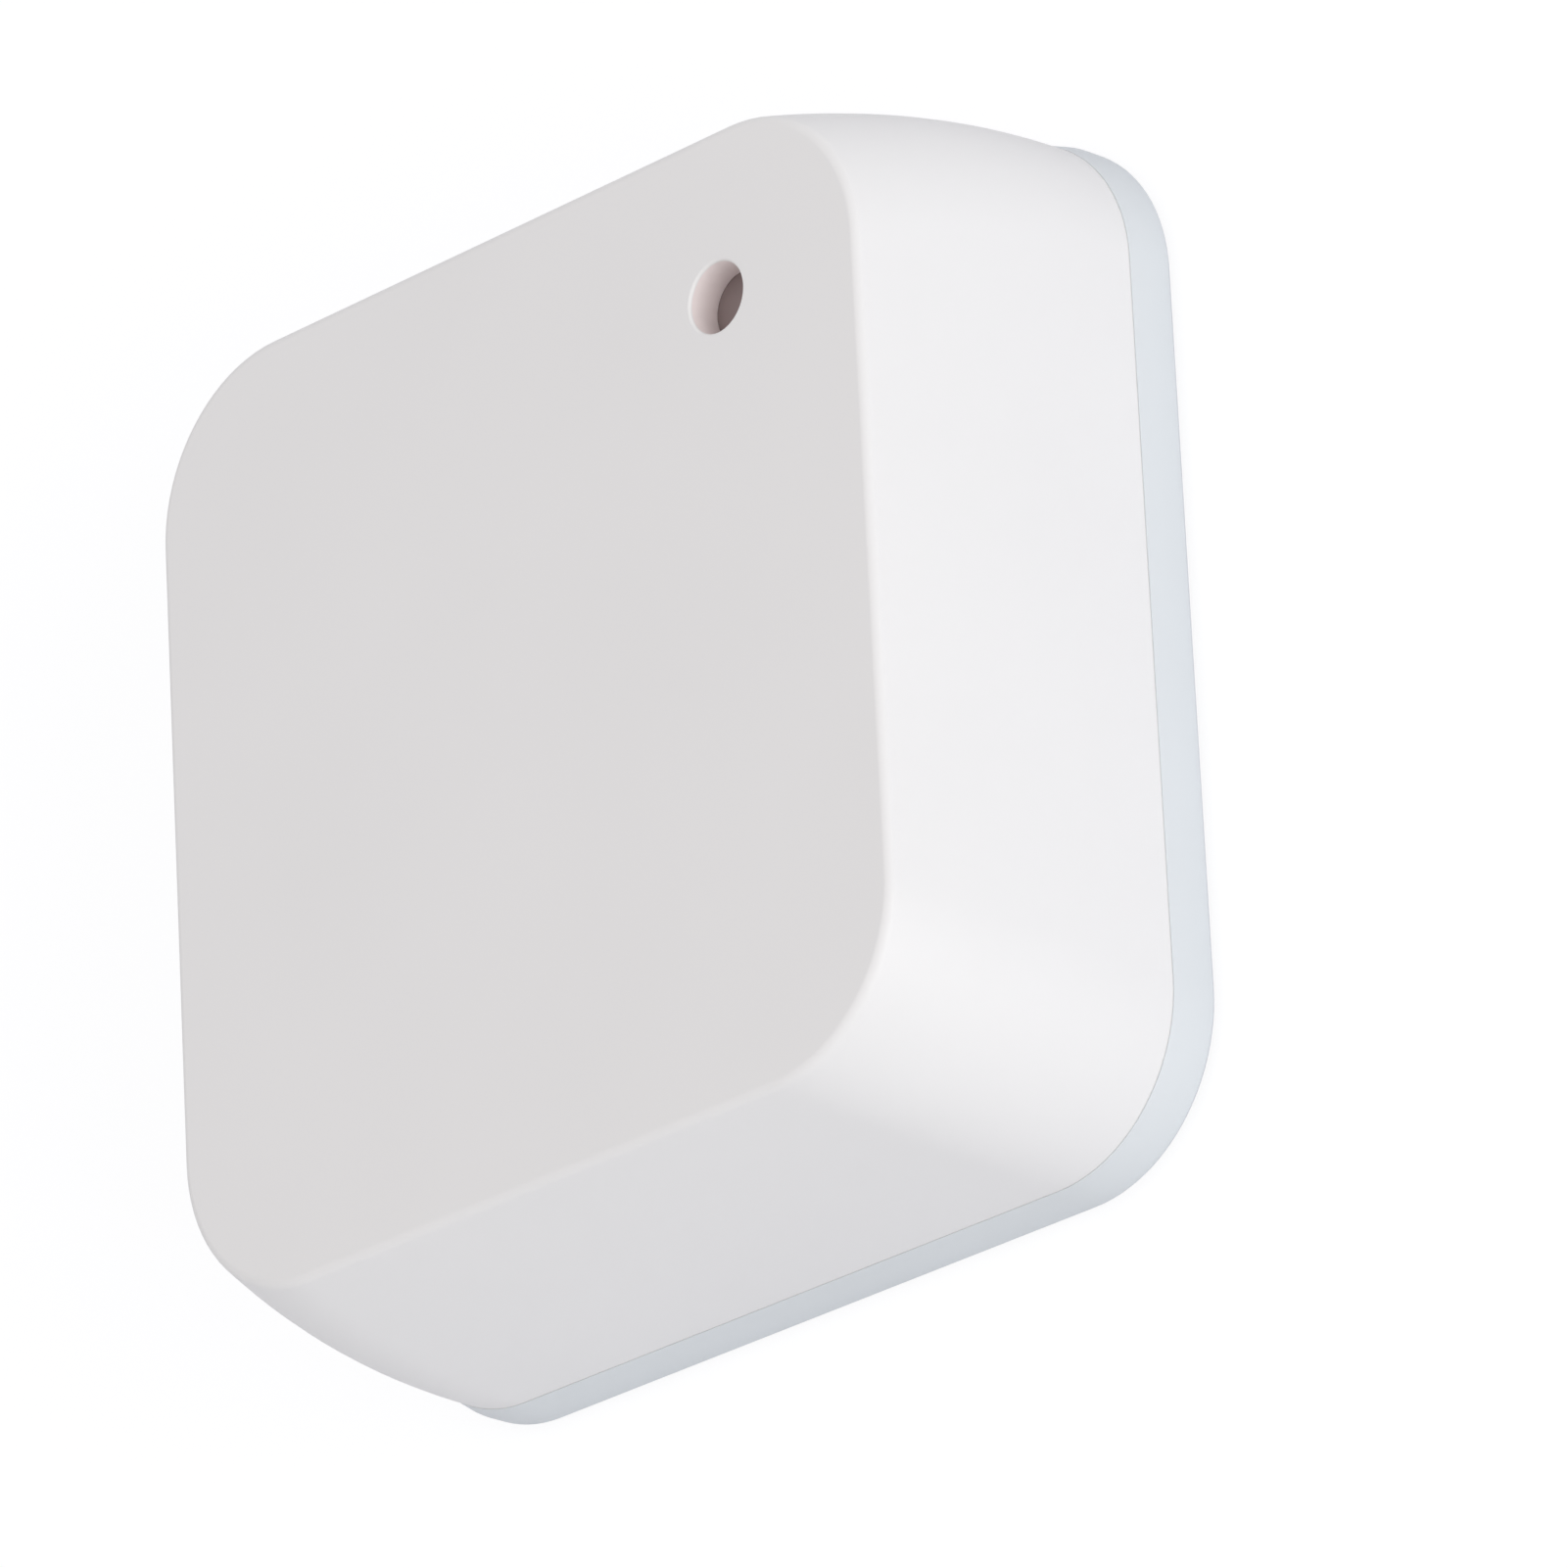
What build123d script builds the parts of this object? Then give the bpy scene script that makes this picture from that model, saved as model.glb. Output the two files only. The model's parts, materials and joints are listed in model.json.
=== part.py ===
from build123d import *

import os
from math import sqrt

# Square millimetre-wave presence sensor for a wall or ceiling.
#
# A white shell with a flat front face and four swelling side walls presses onto a cooler white
# rear cover, which stands a little proud of it all round. The main board is screwed to posts on
# the cover and carries the power inlet, the radio module, the reset switch and the light sensor.
# The radar board stands above it, half a wavelength behind the front face. The light guide hangs
# in the shell, behind the one round hole in the front.
#
# Millimetres. The origin is in the middle of the pad's sticky face, +Z points out of the front
# face, +X is right and +Y up as the device is photographed. The inlet and the reset button are in
# the -X wall.

# Shell
front_side = 54.5  # side of the flat front face
flare = 2.42  # how far each wall swells out from the front rim to the parting line
shell_depth = 18.2  # parting line to front face
corner_radius = 9.1  # the four upright corners
front_edge_radius = 0.45
wall = 2.0
front_wall = 2.1
window_relief = 0.5  # the front wall is this much thinner before the radar
window_margin = 1.0
aperture_diameter = 4.0  # round hole over the light guide
aperture_inset_x = 10.6  # from the front face's right side to the hole's centre
aperture_inset_y = 9.4  # from its top side

# Rear cover
plate_thickness = 2.9
plate_step = 0.34  # how far the cover stands proud of the shell
plate_edge_radius = 0.4
plate_rim_inset = 0.3  # the cover's sides lean in by this much towards the shell
plate_rim_height = 1.4  # over this height
lip_height = 2.4
lip_thickness = 1.2
lip_clearance = 0.15
rib_radius = 0.5  # friction ribs on the lip
rib_gap = 0.03  # their running clearance in the shell
rib_spread = 14.0  # from the middle of a side to a rib
keyhole_spacing = 38.0
keyhole_radius = 3.6
keyhole_slot_radius = 1.8
keyhole_slot_run = 5.0
keyhole_drop = 2.5  # the round entries' centres lie this far below the middle
post_radius = 2.5
post_height = 3.4
post_inset = 4.0  # from the board's edge to the post's axis
pilot_depth = 5.0
pilot_clearance = 0.05

# Adhesive pad
pad_width = 28.0
pad_height = 40.0
pad_radius = 3.0
pad_thickness = 1.0
pad_recess = 0.6
pad_clearance = 0.3

# Main board and its screws
board_thickness = 1.2
board_margin = 2.1  # from the shell's inner wall at the parting line
board_radius = 5.0
part_gap = 1.0  # between neighbours on the board
screw_radius = 1.25
screw_length = 5.2  # under the head
screw_head_radius = 2.2
screw_head_height = 1.5
screw_head_rounding = 0.5
screw_recess = 0.8
screw_cross = 0.6
screw_clearance = 0.1

# Power inlet
inlet_width = 8.94
inlet_height = 3.2
inlet_length = 7.3
inlet_skin = 0.3
inlet_setback = 0.8  # behind the wall's outer surface
inlet_opening_gap = 0.35
tongue_width = 6.7
tongue_thickness = 0.7
tongue_setback = 1.0
tongue_base = 1.6
insulator_clearance = 0.05
contact_count = 12
contact_pitch = 0.5
contact_width = 0.26
contact_length = 3.5
contact_thickness = 0.05
contact_setback = 0.3  # behind the tongue's tip
leg_width = 1.1
leg_pitch = 2.2
leg_inset = 0.4
leg_clearance = 0.1
notch_shoulder = 1.0  # the notch under the opening is this much wider on each side
notch_clearance = 0.1

# Reset button
button_y = 13.0
button_radius = 1.7
button_bore_gap = 0.1
button_flange_radius = 2.6
button_flange = 0.8
button_flange_gap = 0.4
button_proud = 0.4
button_travel = 0.3
button_crown = 0.3
rest_gap = 0.05  # play at each end of the button

# Switch behind it
switch_width = 6.0
switch_depth = 3.6
switch_height = 3.5
switch_overhang = 0.3
switch_cover = 0.2
plunger_radius = 1.0
plunger_socket = 1.2
plunger_gap = 0.1

# Light guide, light sensor and status light
guide_overlap = 0.45  # the guide is this much wider than the hole, all round
guide_clearance = 0.05
guide_gap = 0.4  # above the sensor
boss_wall = 1.2
boss_length = 5.5
sensor_side = 2.0
sensor_height = 0.8
status_length = 1.6
status_width = 0.8
status_height = 0.6
status_gap = 0.3

# Radar board and what carries it
radar_width = 24.0
radar_length = 28.0
radar_thickness = 1.0
radar_lift = 4.6  # between the two boards
radar_y = 5.0
radar_radius = 1.0
radar_edge = 1.8  # from the board's edge to its pins and pillars
patch_width = 3.2
patch_length = 3.9
patch_pitch = 6.2
patch_rows = 3
patch_columns = 3
feed_width = 0.5
feed_gap = 0.3
copper = 0.1
radar_chip_side = 5.0
radar_chip_height = 0.9
processor_side = 6.0
processor_height = 1.0
pin_count = 6
pin_pitch = 2.0
pin_side = 0.5
pin_tail = 1.0
pin_clearance = 0.15
header_depth = 2.2
pillar_radius = 1.6
peg_radius = 0.8
peg_clearance = 0.05
peg_tip = 0.7

# Radio module
module_width = 14.0
module_length = 21.0
module_thickness = 0.8
module_edge = 0.5  # from the main board's edge
module_radius = 0.6
antenna_length = 5.0
antenna_trace = 0.6
antenna_turns = 5
can_margin = 1.0
can_height = 2.0
can_skin = 0.2
can_radius = 0.6
radio_chip_side = 7.0
radio_chip_height = 0.9

# Small parts on the main board
regulator_drop = 14.0  # below the middle
regulator_length = 6.5
regulator_width = 3.5
regulator_height = 1.6
lead_pitch = 2.3
lead_width = 0.7
lead_thickness = 0.25
lead_shoulder = 0.5
lead_reach = 1.6
tab_width = 3.0
coil_side = 5.0
coil_base_height = 0.5
coil_radius = 2.3
coil_height = 2.6
coil_rounding = 0.3
bulk_radius = 2.0
bulk_height = 4.7
bulk_side = 4.3
bulk_base_height = 0.5
bulk_rounding = 0.3
crystal_length = 3.2
crystal_width = 2.5
crystal_height = 0.7
crystal_radius = 0.4
chip_length = 1.6
chip_width = 0.8
chip_height = 0.7
chip_pitch = 1.8
chip_rows = 5
chip_columns = 3

# Levels
back_z = pad_thickness - pad_recess
parting_z = back_z + plate_thickness
front_z = parting_z + shell_depth
ceiling_z = front_z - front_wall
board_z = parting_z + post_height
board_top = board_z + board_thickness
inlet_z = board_top + inlet_height / 2
button_z = board_top + switch_height / 2
radar_z = board_top + radar_lift
radar_top = radar_z + radar_thickness
module_top = board_top + module_thickness
lip_top = parting_z + lip_height

# Plan
back_half = front_side / 2 + flare
wall_arc = (shell_depth**2 + flare**2) / (2 * flare)
plate_side = 2 * (back_half + plate_step)
board_half = back_half - wall - board_margin
post_at = board_half - post_inset
aperture_x = front_side / 2 - aperture_inset_x
aperture_y = front_side / 2 - aperture_inset_y
guide_radius = aperture_diameter / 2 + guide_overlap
corners = [(sx * post_at, sy * post_at) for sx in (-1, 1) for sy in (-1, 1)]
pin_xs = [(i - (pin_count - 1) / 2) * pin_pitch for i in range(pin_count)]
pin_y = radar_y + radar_length / 2 - radar_edge
pillar_x = radar_width / 2 - radar_edge
pillar_y = radar_y - radar_length / 2 + radar_edge
radar_chip_y = pillar_y + radar_chip_side / 2 - peg_radius
module_y = -board_half + module_edge + module_length / 2
can_y = module_y + antenna_length / 2
beside_pillar = pillar_x + pillar_radius + part_gap
power_x = beside_pillar + regulator_length / 2
coil_y = -regulator_drop + regulator_width / 2 + lead_reach + part_gap + coil_side / 2
bulk_y = coil_y + coil_side / 2 + part_gap + bulk_side / 2
crystal_x = -(module_width - crystal_length) / 2
crystal_y = module_y + module_length / 2 + part_gap + crystal_width / 2

UP = (Align.CENTER, Align.CENTER, Align.MIN)
DOWN = (Align.CENTER, Align.CENTER, Align.MAX)


def wall_half(z, inset=0.0):
    """Half width at height z of the surface that lies inset inside the shell's outer wall."""
    return back_half - wall_arc + sqrt((wall_arc - inset) ** 2 - (z - parting_z) ** 2)


inlet_front = -(wall_half(inlet_z) - inlet_setback)
inlet_rear = inlet_front + inlet_length
seat_radius = button_flange_radius + button_flange_gap
seat_x = -(wall_half(button_z - seat_radius, wall) + rest_gap)
flange_start = seat_x + rest_gap
flange_end = flange_start + button_flange
switch_x = -(board_half + switch_overhang)
lip_half = wall_half(lip_top, wall) - lip_clearance
lip_radius = corner_radius - wall - lip_clearance


def block(x_span, y_span, z_span):
    """Box between two values on each axis."""
    spans = (x_span, y_span, z_span)
    middle = [(low + high) / 2 for low, high in spans]
    return Pos(*middle) * Box(*[high - low for low, high in spans])


def slab(width, height, radius, z_span):
    """Upright prism on a rounded rectangle."""
    low, high = z_span
    return extrude(Pos(0, 0, low) * RectangleRounded(width, height, radius), high - low)


def peg(x, y, z_span, radius):
    """Upright cylinder."""
    low, high = z_span
    return Pos(x, y, low) * Cylinder(radius, high - low, align=UP)


def cross_peg(x_span, radius):
    """Cylinder along X on the reset button's axis."""
    low, high = x_span
    return Pos(low, button_y, button_z) * Rot(0, 90, 0) * Cylinder(radius, high - low, align=UP)


def span(start, size):
    return (start, start + size)


def about(middle, size):
    return (middle - size / 2, middle + size / 2)


def soften_top(solid, radius):
    """Round the edges of a solid's highest face."""
    return fillet(solid.faces().sort_by(Axis.Z)[-1].edges(), radius)


def flared_block(inset, top):
    """Block with four swelling walls, inset inside the shell, from the parting line to a height."""
    low, high = wall_half(parting_z, inset), wall_half(top, inset)
    middle_z = (parting_z + top) / 2
    middle = wall_half(middle_z, inset)
    outline = [
        Line((-low, parting_z), (low, parting_z)),
        ThreePointArc((low, parting_z), (middle, middle_z), (high, top)),
        Line((high, top), (-high, top)),
        ThreePointArc((-high, top), (-middle, middle_z), (-low, parting_z)),
    ]
    arch = extrude(Plane.XZ * make_face(Curve() + outline), low + corner_radius, both=True)
    body = arch & (Rot(0, 0, 90) * arch)
    half_height = middle_z - parting_z
    rising = [e for e in body.edges() if e.bounding_box().size.Z > half_height]
    return fillet(rising, corner_radius - inset)


def radar_slab(margin, z_span):
    """Prism on the radar board's outline, grown by a margin."""
    width, length = radar_width + 2 * margin, radar_length + 2 * margin
    return Pos(0, radar_y, 0) * slab(width, length, radar_radius + margin, z_span)


def inlet_opening(gap, z_low):
    """Way in for a plug through the -X wall, above a height."""
    profile = Plane(origin=(-plate_side, 0, inlet_z), x_dir=(0, 1, 0), z_dir=(1, 0, 0))
    tunnel = extrude(profile * SlotOverall(inlet_width + 2 * gap, inlet_height + 2 * gap), plate_side)
    return tunnel & block((-plate_side, 0), about(0, plate_side), (z_low, front_z))


def inlet_notch(clearance):
    """Notch under the opening, down to the shell's rim, or the cover's tongue that fills it."""
    width = inlet_width + 2 * (inlet_opening_gap + notch_shoulder - clearance)
    return block((-plate_side, 0), about(0, width), (parting_z, inlet_z - clearance))


def front_shell():
    body = flared_block(0, front_z)
    body = soften_top(body, front_edge_radius)
    body -= flared_block(wall, ceiling_z)
    relief_top = ceiling_z + window_relief
    body -= radar_slab(window_margin, (ceiling_z, relief_top))
    bore = guide_radius + guide_clearance
    low = ceiling_z - boss_length
    body += peg(aperture_x, aperture_y, (low, relief_top), bore + boss_wall)
    body -= peg(aperture_x, aperture_y, (low, ceiling_z), bore)
    body -= peg(aperture_x, aperture_y, (ceiling_z, front_z), aperture_diameter / 2)
    body -= inlet_opening(inlet_opening_gap, parting_z)
    body -= inlet_notch(0)
    body -= cross_peg((-plate_side, 0), button_radius + button_bore_gap)
    return body - cross_peg((seat_x, 0), seat_radius)


def friction_ribs():
    """Upright half-round ribs, two on each side of the lip."""
    centre = lip_half + lip_clearance - rib_gap - rib_radius
    ribs = []
    for turn in (0, 90, 180, 270):
        for y in (-rib_spread, rib_spread):
            ribs.append(Rot(0, 0, turn) * peg(centre, y, (parting_z, lip_top), rib_radius))
    return ribs


def keyhole(x):
    """Keyhole through the cover: a round entry, and a slot that runs up from it."""
    through = (back_z, parting_z)
    top = keyhole_slot_run - keyhole_drop
    slot = block(about(x, 2 * keyhole_slot_radius), (-keyhole_drop, top), through)
    return peg(x, -keyhole_drop, through, keyhole_radius) + slot + peg(x, top, through, keyhole_slot_radius)


def inlet_tongue():
    """Part of the cover that fills the shell's notch and carries its wall on round the inlet."""
    inside = block((-(lip_half - lip_thickness), plate_side), about(0, plate_side), (parting_z, front_z))
    filler = inlet_notch(notch_clearance) & flared_block(0, front_z)
    return filler - inside - inlet_opening(inlet_opening_gap, parting_z)


def rear_cover():
    plate = slab(plate_side, plate_side, corner_radius + plate_step, (back_z, parting_z))
    plate = fillet(plate.faces().sort_by(Axis.Z)[0].edges(), plate_edge_radius)
    top = plate.faces().sort_by(Axis.Z)[-1]
    plate = chamfer(top.edges(), plate_rim_inset, plate_rim_height, reference=top)
    rise = (parting_z, lip_top)
    lip = slab(2 * lip_half, 2 * lip_half, lip_radius, rise)
    inner = 2 * (lip_half - lip_thickness)
    for rib in friction_ribs():
        lip += rib
    plate += lip - slab(inner, inner, lip_radius - lip_thickness, rise)
    plate += inlet_tongue()
    for x, y in corners:
        plate += peg(x, y, (parting_z, board_z), post_radius)
        plate -= peg(x, y, (board_z - pilot_depth, board_z), screw_radius + pilot_clearance)
    for sign in (-1, 1):
        plate -= keyhole(sign * keyhole_spacing / 2)
    width, height = pad_width + 2 * pad_clearance, pad_height + 2 * pad_clearance
    return plate - slab(width, height, pad_radius + pad_clearance, span(back_z, pad_recess))


def adhesive_pad():
    return slab(pad_width, pad_height, pad_radius, (0, pad_thickness))


def inlet_legs(clearance):
    """The inlet shell's four legs, or the board's slots for them."""
    legs = []
    for i in range(2):
        start = inlet_rear - leg_inset - leg_width - i * leg_pitch
        for sign in (-1, 1):
            y = sign * (inlet_width - inlet_skin) / 2
            x_span = (start - clearance, start + leg_width + clearance)
            legs.append(block(x_span, about(y, inlet_skin + 2 * clearance), (board_z, inlet_z)))
    return legs


def header_holes(z_span):
    """Clearance holes for the header's pins."""
    return [peg(x, pin_y, z_span, pin_side / sqrt(2) + pin_clearance) for x in pin_xs]


def peg_holes(z_span):
    """Clearance holes for the pillars' pegs."""
    return [peg(sign * pillar_x, pillar_y, z_span, peg_radius + peg_clearance) for sign in (-1, 1)]


def main_board():
    through = (board_z, board_top)
    board = slab(2 * board_half, 2 * board_half, board_radius, through)
    screw_holes = [peg(x, y, through, screw_radius + screw_clearance) for x, y in corners]
    for hole in screw_holes + inlet_legs(leg_clearance) + header_holes(through) + peg_holes(through):
        board -= hole
    return board


def board_screw(x, y):
    top = board_top + screw_head_height
    screw = soften_top(peg(x, y, (board_top, top), screw_head_radius), screw_head_rounding)
    screw += peg(x, y, (board_top - screw_length, board_top), screw_radius)
    for turn in (0, 90):
        bar = Box(screw_cross, 2 * screw_radius, screw_recess, align=DOWN)
        screw -= Pos(x, y, top) * Rot(0, 0, turn) * bar
    return screw


def board_screws():
    return Compound([board_screw(x, y) for x, y in corners])


def inlet_profile(x, inset):
    """Cross-section of the inlet, inset inside its outer surface."""
    plane = Plane(origin=(x, 0, inlet_z), x_dir=(0, 1, 0), z_dir=(1, 0, 0))
    return plane * SlotOverall(inlet_width - 2 * inset, inlet_height - 2 * inset)


def inlet_shell():
    shell = extrude(inlet_profile(inlet_front, 0), inlet_length)
    for leg in inlet_legs(0):
        shell += leg
    return shell - extrude(inlet_profile(inlet_front, inlet_skin), inlet_length - inlet_skin)


def inlet_insulator():
    end = inlet_rear - inlet_skin
    base = extrude(inlet_profile(end - tongue_base, inlet_skin + insulator_clearance), tongue_base)
    x_span = (inlet_front + tongue_setback, end - tongue_base)
    return base + block(x_span, about(0, tongue_width), about(inlet_z, tongue_thickness))


def inlet_contacts():
    """Flat contacts on both faces of the tongue."""
    x_span = span(inlet_front + tongue_setback + contact_setback, contact_length)
    half = tongue_thickness / 2
    strips = []
    for i in range(contact_count):
        y = (i - (contact_count - 1) / 2) * contact_pitch
        for low in (inlet_z + half, inlet_z - half - contact_thickness):
            strips.append(block(x_span, about(y, contact_width), span(low, contact_thickness)))
    return Compound(strips)


def reset_button():
    tip = -(wall_half(button_z) + button_proud)
    stem = cross_peg((tip, flange_start), button_radius)
    stem = fillet(stem.faces().sort_by(Axis.X)[0].edges(), button_crown)
    return stem + cross_peg((flange_start, flange_end), button_flange_radius)


def switch_body():
    start = switch_x + switch_cover
    z_span = span(board_top, switch_height - switch_cover)
    body = block((start, switch_x + switch_depth), about(button_y, switch_width), z_span)
    return body - cross_peg(span(start, plunger_socket), plunger_radius + plunger_gap)


def switch_bracket():
    """Steel cover folded over the switch's face and top."""
    width = about(button_y, switch_width)
    face = block(span(switch_x, switch_cover), width, span(board_top, switch_height))
    lid_z = board_top + switch_height - switch_cover
    lid = block(span(switch_x, switch_depth), width, span(lid_z, switch_cover))
    return face + lid - cross_peg(span(switch_x, switch_cover), plunger_radius + plunger_gap)


def switch_plunger():
    end = switch_x + switch_cover + plunger_socket - button_travel - plunger_gap
    return cross_peg((flange_end + rest_gap, end), plunger_radius)


def light_guide():
    low = board_top + sensor_height + guide_gap
    return peg(aperture_x, aperture_y, (low, ceiling_z), guide_radius)


def light_sensor():
    y_span = span(aperture_y - status_gap / 2 - sensor_side, sensor_side)
    return block(about(aperture_x, sensor_side), y_span, span(board_top, sensor_height))


def status_light():
    y_span = span(aperture_y + status_gap / 2, status_width)
    return block(about(aperture_x, status_length), y_span, span(board_top, status_height))


def radar_board():
    through = (radar_z, radar_top)
    board = radar_slab(0, through)
    for hole in header_holes(through) + peg_holes(through):
        board -= hole
    return board


def patch_column(x, first_y):
    """Column of patches on one feed line, which ends just short of the radar chip."""
    z_span = span(radar_top, copper)
    chip_half = radar_chip_side / 2 + feed_gap
    beside = abs(x) > chip_half
    end = radar_chip_y - feed_width / 2 if beside else radar_chip_y + chip_half
    column = block(about(x, feed_width), (end, first_y), z_span)
    for row in range(patch_rows):
        y = first_y - row * patch_pitch
        column += block(about(x, patch_width), about(y, patch_length), z_span)
    if beside:
        reach = (chip_half, x) if x > 0 else (x, -chip_half)
        column += block(reach, about(radar_chip_y, feed_width), z_span)
    return column


def radar_patches():
    first_y = pin_y - radar_edge - patch_length / 2
    pitch = (radar_width - 2 * radar_edge - patch_width) / (patch_columns - 1)
    xs = [(i - (patch_columns - 1) / 2) * pitch for i in range(patch_columns)]
    return Compound([patch_column(x, first_y) for x in xs])


def radar_chip():
    side = about(radar_chip_y, radar_chip_side)
    return block(about(0, radar_chip_side), side, span(radar_top, radar_chip_height))


def radar_processor():
    y_span = about(pin_y - header_depth - processor_side / 2, processor_side)
    return block(about(0, processor_side), y_span, (radar_z - processor_height, radar_z))


def header_pin(x):
    z_span = (board_z - pin_tail, radar_top + pin_tail)
    return block(about(x, pin_side), about(pin_y, pin_side), z_span)


def header_pins():
    return Compound([header_pin(x) for x in pin_xs])


def header_block():
    body = block(about(0, pin_count * pin_pitch), about(pin_y, header_depth), (board_top, radar_z))
    for x in pin_xs:
        body -= header_pin(x)
    return body


def radar_pillars():
    pillars = []
    for sign in (-1, 1):
        x = sign * pillar_x
        pillar = peg(x, pillar_y, (board_top, radar_z), pillar_radius)
        pillars.append(pillar + peg(x, pillar_y, (board_z, radar_top + peg_tip), peg_radius))
    return Compound(pillars)


def module_board():
    z_span = (board_top, module_top)
    return Pos(0, module_y, 0) * slab(module_width, module_length, module_radius, z_span)


def module_can():
    """Pressed steel can over the radio chip."""
    width, length = module_width - 2 * can_margin, module_length - antenna_length - 2 * can_margin
    can = slab(width, length, can_radius, span(module_top, can_height))
    hollow = span(module_top, can_height - can_skin)
    can -= slab(width - 2 * can_skin, length - 2 * can_skin, can_radius - can_skin, hollow)
    return Pos(0, can_y, 0) * can


def module_chip():
    side = about(can_y, radio_chip_side)
    return block(about(0, radio_chip_side), side, span(module_top, radio_chip_height))


def module_antenna():
    """Meandering copper trace at the radio module's free end."""
    z_span = span(module_top, copper)
    edge = module_y - module_length / 2 + can_margin
    far = edge + antenna_length - can_margin
    step = (module_width - 2 * can_margin - antenna_trace) / antenna_turns
    trace = block(about(-antenna_turns * step / 2, antenna_trace), (edge, far), z_span)
    for i in range(antenna_turns):
        x = (i - antenna_turns / 2) * step
        y = far - antenna_trace if i % 2 == 0 else edge
        trace += block((x, x + step), span(y, antenna_trace), z_span)
        trace += block(about(x + step, antenna_trace), (edge, far), z_span)
    return trace


def regulator_body():
    y_span = about(-regulator_drop, regulator_width)
    return block(about(power_x, regulator_length), y_span, span(board_top, regulator_height))


def regulator_lead(x, width, side):
    """Bent lead on one side of the regulator, down to the board."""
    shoulder_z = board_top + regulator_height / 2
    start = regulator_width / 2
    bend = start + lead_shoulder
    pieces = [
        ((start, bend), span(shoulder_z, lead_thickness)),
        ((bend - lead_thickness, bend), (board_top, shoulder_z + lead_thickness)),
        ((bend - lead_thickness, start + lead_reach), span(board_top, lead_thickness)),
    ]
    lead = Part()
    for (low, high), z_span in pieces:
        y_span = sorted((-regulator_drop + side * low, -regulator_drop + side * high))
        lead += block(about(x, width), y_span, z_span)
    return lead


def regulator_leads():
    """Three leads on one side, and the wide tab on the other."""
    leads = [regulator_lead(power_x + i * lead_pitch, lead_width, -1) for i in (-1, 0, 1)]
    leads.append(regulator_lead(power_x, tab_width, 1))
    return Compound(leads)


def coil_base():
    z_span = span(board_top, coil_base_height)
    return block(about(power_x, coil_side), about(coil_y, coil_side), z_span)


def coil_body():
    z_span = (board_top + coil_base_height, board_top + coil_height)
    return soften_top(peg(power_x, coil_y, z_span, coil_radius), coil_rounding)


def bulk_base():
    z_span = span(board_top, bulk_base_height)
    return block(about(power_x, bulk_side), about(bulk_y, bulk_side), z_span)


def bulk_capacitor():
    z_span = (board_top + bulk_base_height, board_top + bulk_height)
    return soften_top(peg(power_x, bulk_y, z_span, bulk_radius), bulk_rounding)


def crystal():
    body = slab(crystal_length, crystal_width, crystal_radius, span(board_top, crystal_height))
    return Pos(crystal_x, crystal_y, 0) * body


def chip_parts():
    """Small ceramic parts in a grid beside the inlet."""
    first_x = -(beside_pillar + chip_length / 2)
    first_y = -(inlet_width / 2 + part_gap + chip_width / 2)
    chips = []
    for column in range(chip_columns):
        x = first_x - column * (chip_length + part_gap)
        for row in range(chip_rows):
            y = first_y - row * chip_pitch
            chips.append(block(about(x, chip_length), about(y, chip_width), span(board_top, chip_height)))
    return Compound(chips)


makers = [
    front_shell,
    rear_cover,
    adhesive_pad,
    main_board,
    board_screws,
    inlet_shell,
    inlet_insulator,
    inlet_contacts,
    reset_button,
    switch_body,
    switch_bracket,
    switch_plunger,
    light_guide,
    light_sensor,
    status_light,
    radar_board,
    radar_patches,
    radar_chip,
    radar_processor,
    header_pins,
    header_block,
    radar_pillars,
    module_board,
    module_can,
    module_chip,
    module_antenna,
    regulator_body,
    regulator_leads,
    coil_base,
    coil_body,
    bulk_base,
    bulk_capacitor,
    crystal,
    chip_parts,
]

os.makedirs("parts", exist_ok=True)
for make in makers:
    export_step(make(), f"parts/{make.__name__}.step")
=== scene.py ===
import contextlib
import json
import math
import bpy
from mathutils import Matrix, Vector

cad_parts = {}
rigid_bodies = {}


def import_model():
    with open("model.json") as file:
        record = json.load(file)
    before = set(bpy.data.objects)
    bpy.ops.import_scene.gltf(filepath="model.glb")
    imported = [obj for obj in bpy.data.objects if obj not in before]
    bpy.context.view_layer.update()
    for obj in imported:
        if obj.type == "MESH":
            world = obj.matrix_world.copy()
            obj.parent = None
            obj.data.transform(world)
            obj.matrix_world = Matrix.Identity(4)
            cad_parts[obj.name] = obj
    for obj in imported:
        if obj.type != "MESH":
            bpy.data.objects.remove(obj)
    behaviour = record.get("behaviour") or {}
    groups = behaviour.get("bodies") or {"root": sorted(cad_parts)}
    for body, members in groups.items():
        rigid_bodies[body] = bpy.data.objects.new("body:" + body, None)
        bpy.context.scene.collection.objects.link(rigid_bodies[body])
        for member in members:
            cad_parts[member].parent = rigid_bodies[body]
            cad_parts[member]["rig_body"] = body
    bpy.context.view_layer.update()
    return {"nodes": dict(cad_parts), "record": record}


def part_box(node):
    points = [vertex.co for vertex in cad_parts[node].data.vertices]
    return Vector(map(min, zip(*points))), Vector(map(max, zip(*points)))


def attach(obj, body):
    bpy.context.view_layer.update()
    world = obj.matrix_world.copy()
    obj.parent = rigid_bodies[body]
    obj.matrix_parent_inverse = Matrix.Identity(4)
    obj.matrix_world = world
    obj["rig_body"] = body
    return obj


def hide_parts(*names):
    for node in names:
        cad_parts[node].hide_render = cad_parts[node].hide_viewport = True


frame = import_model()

from types import SimpleNamespace

import bmesh
import bpy
from mathutils import Matrix, Vector

bl_info = {
    "name": "Presence Sensor Pieces",
    "version": (1, 0, 0),
    "blender": (4, 5, 0),
    "location": "3D View > Sidebar > Sensor",
    "description": "Models and finishes the pieces of a square radar presence sensor",
    "category": "Object",
}

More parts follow.
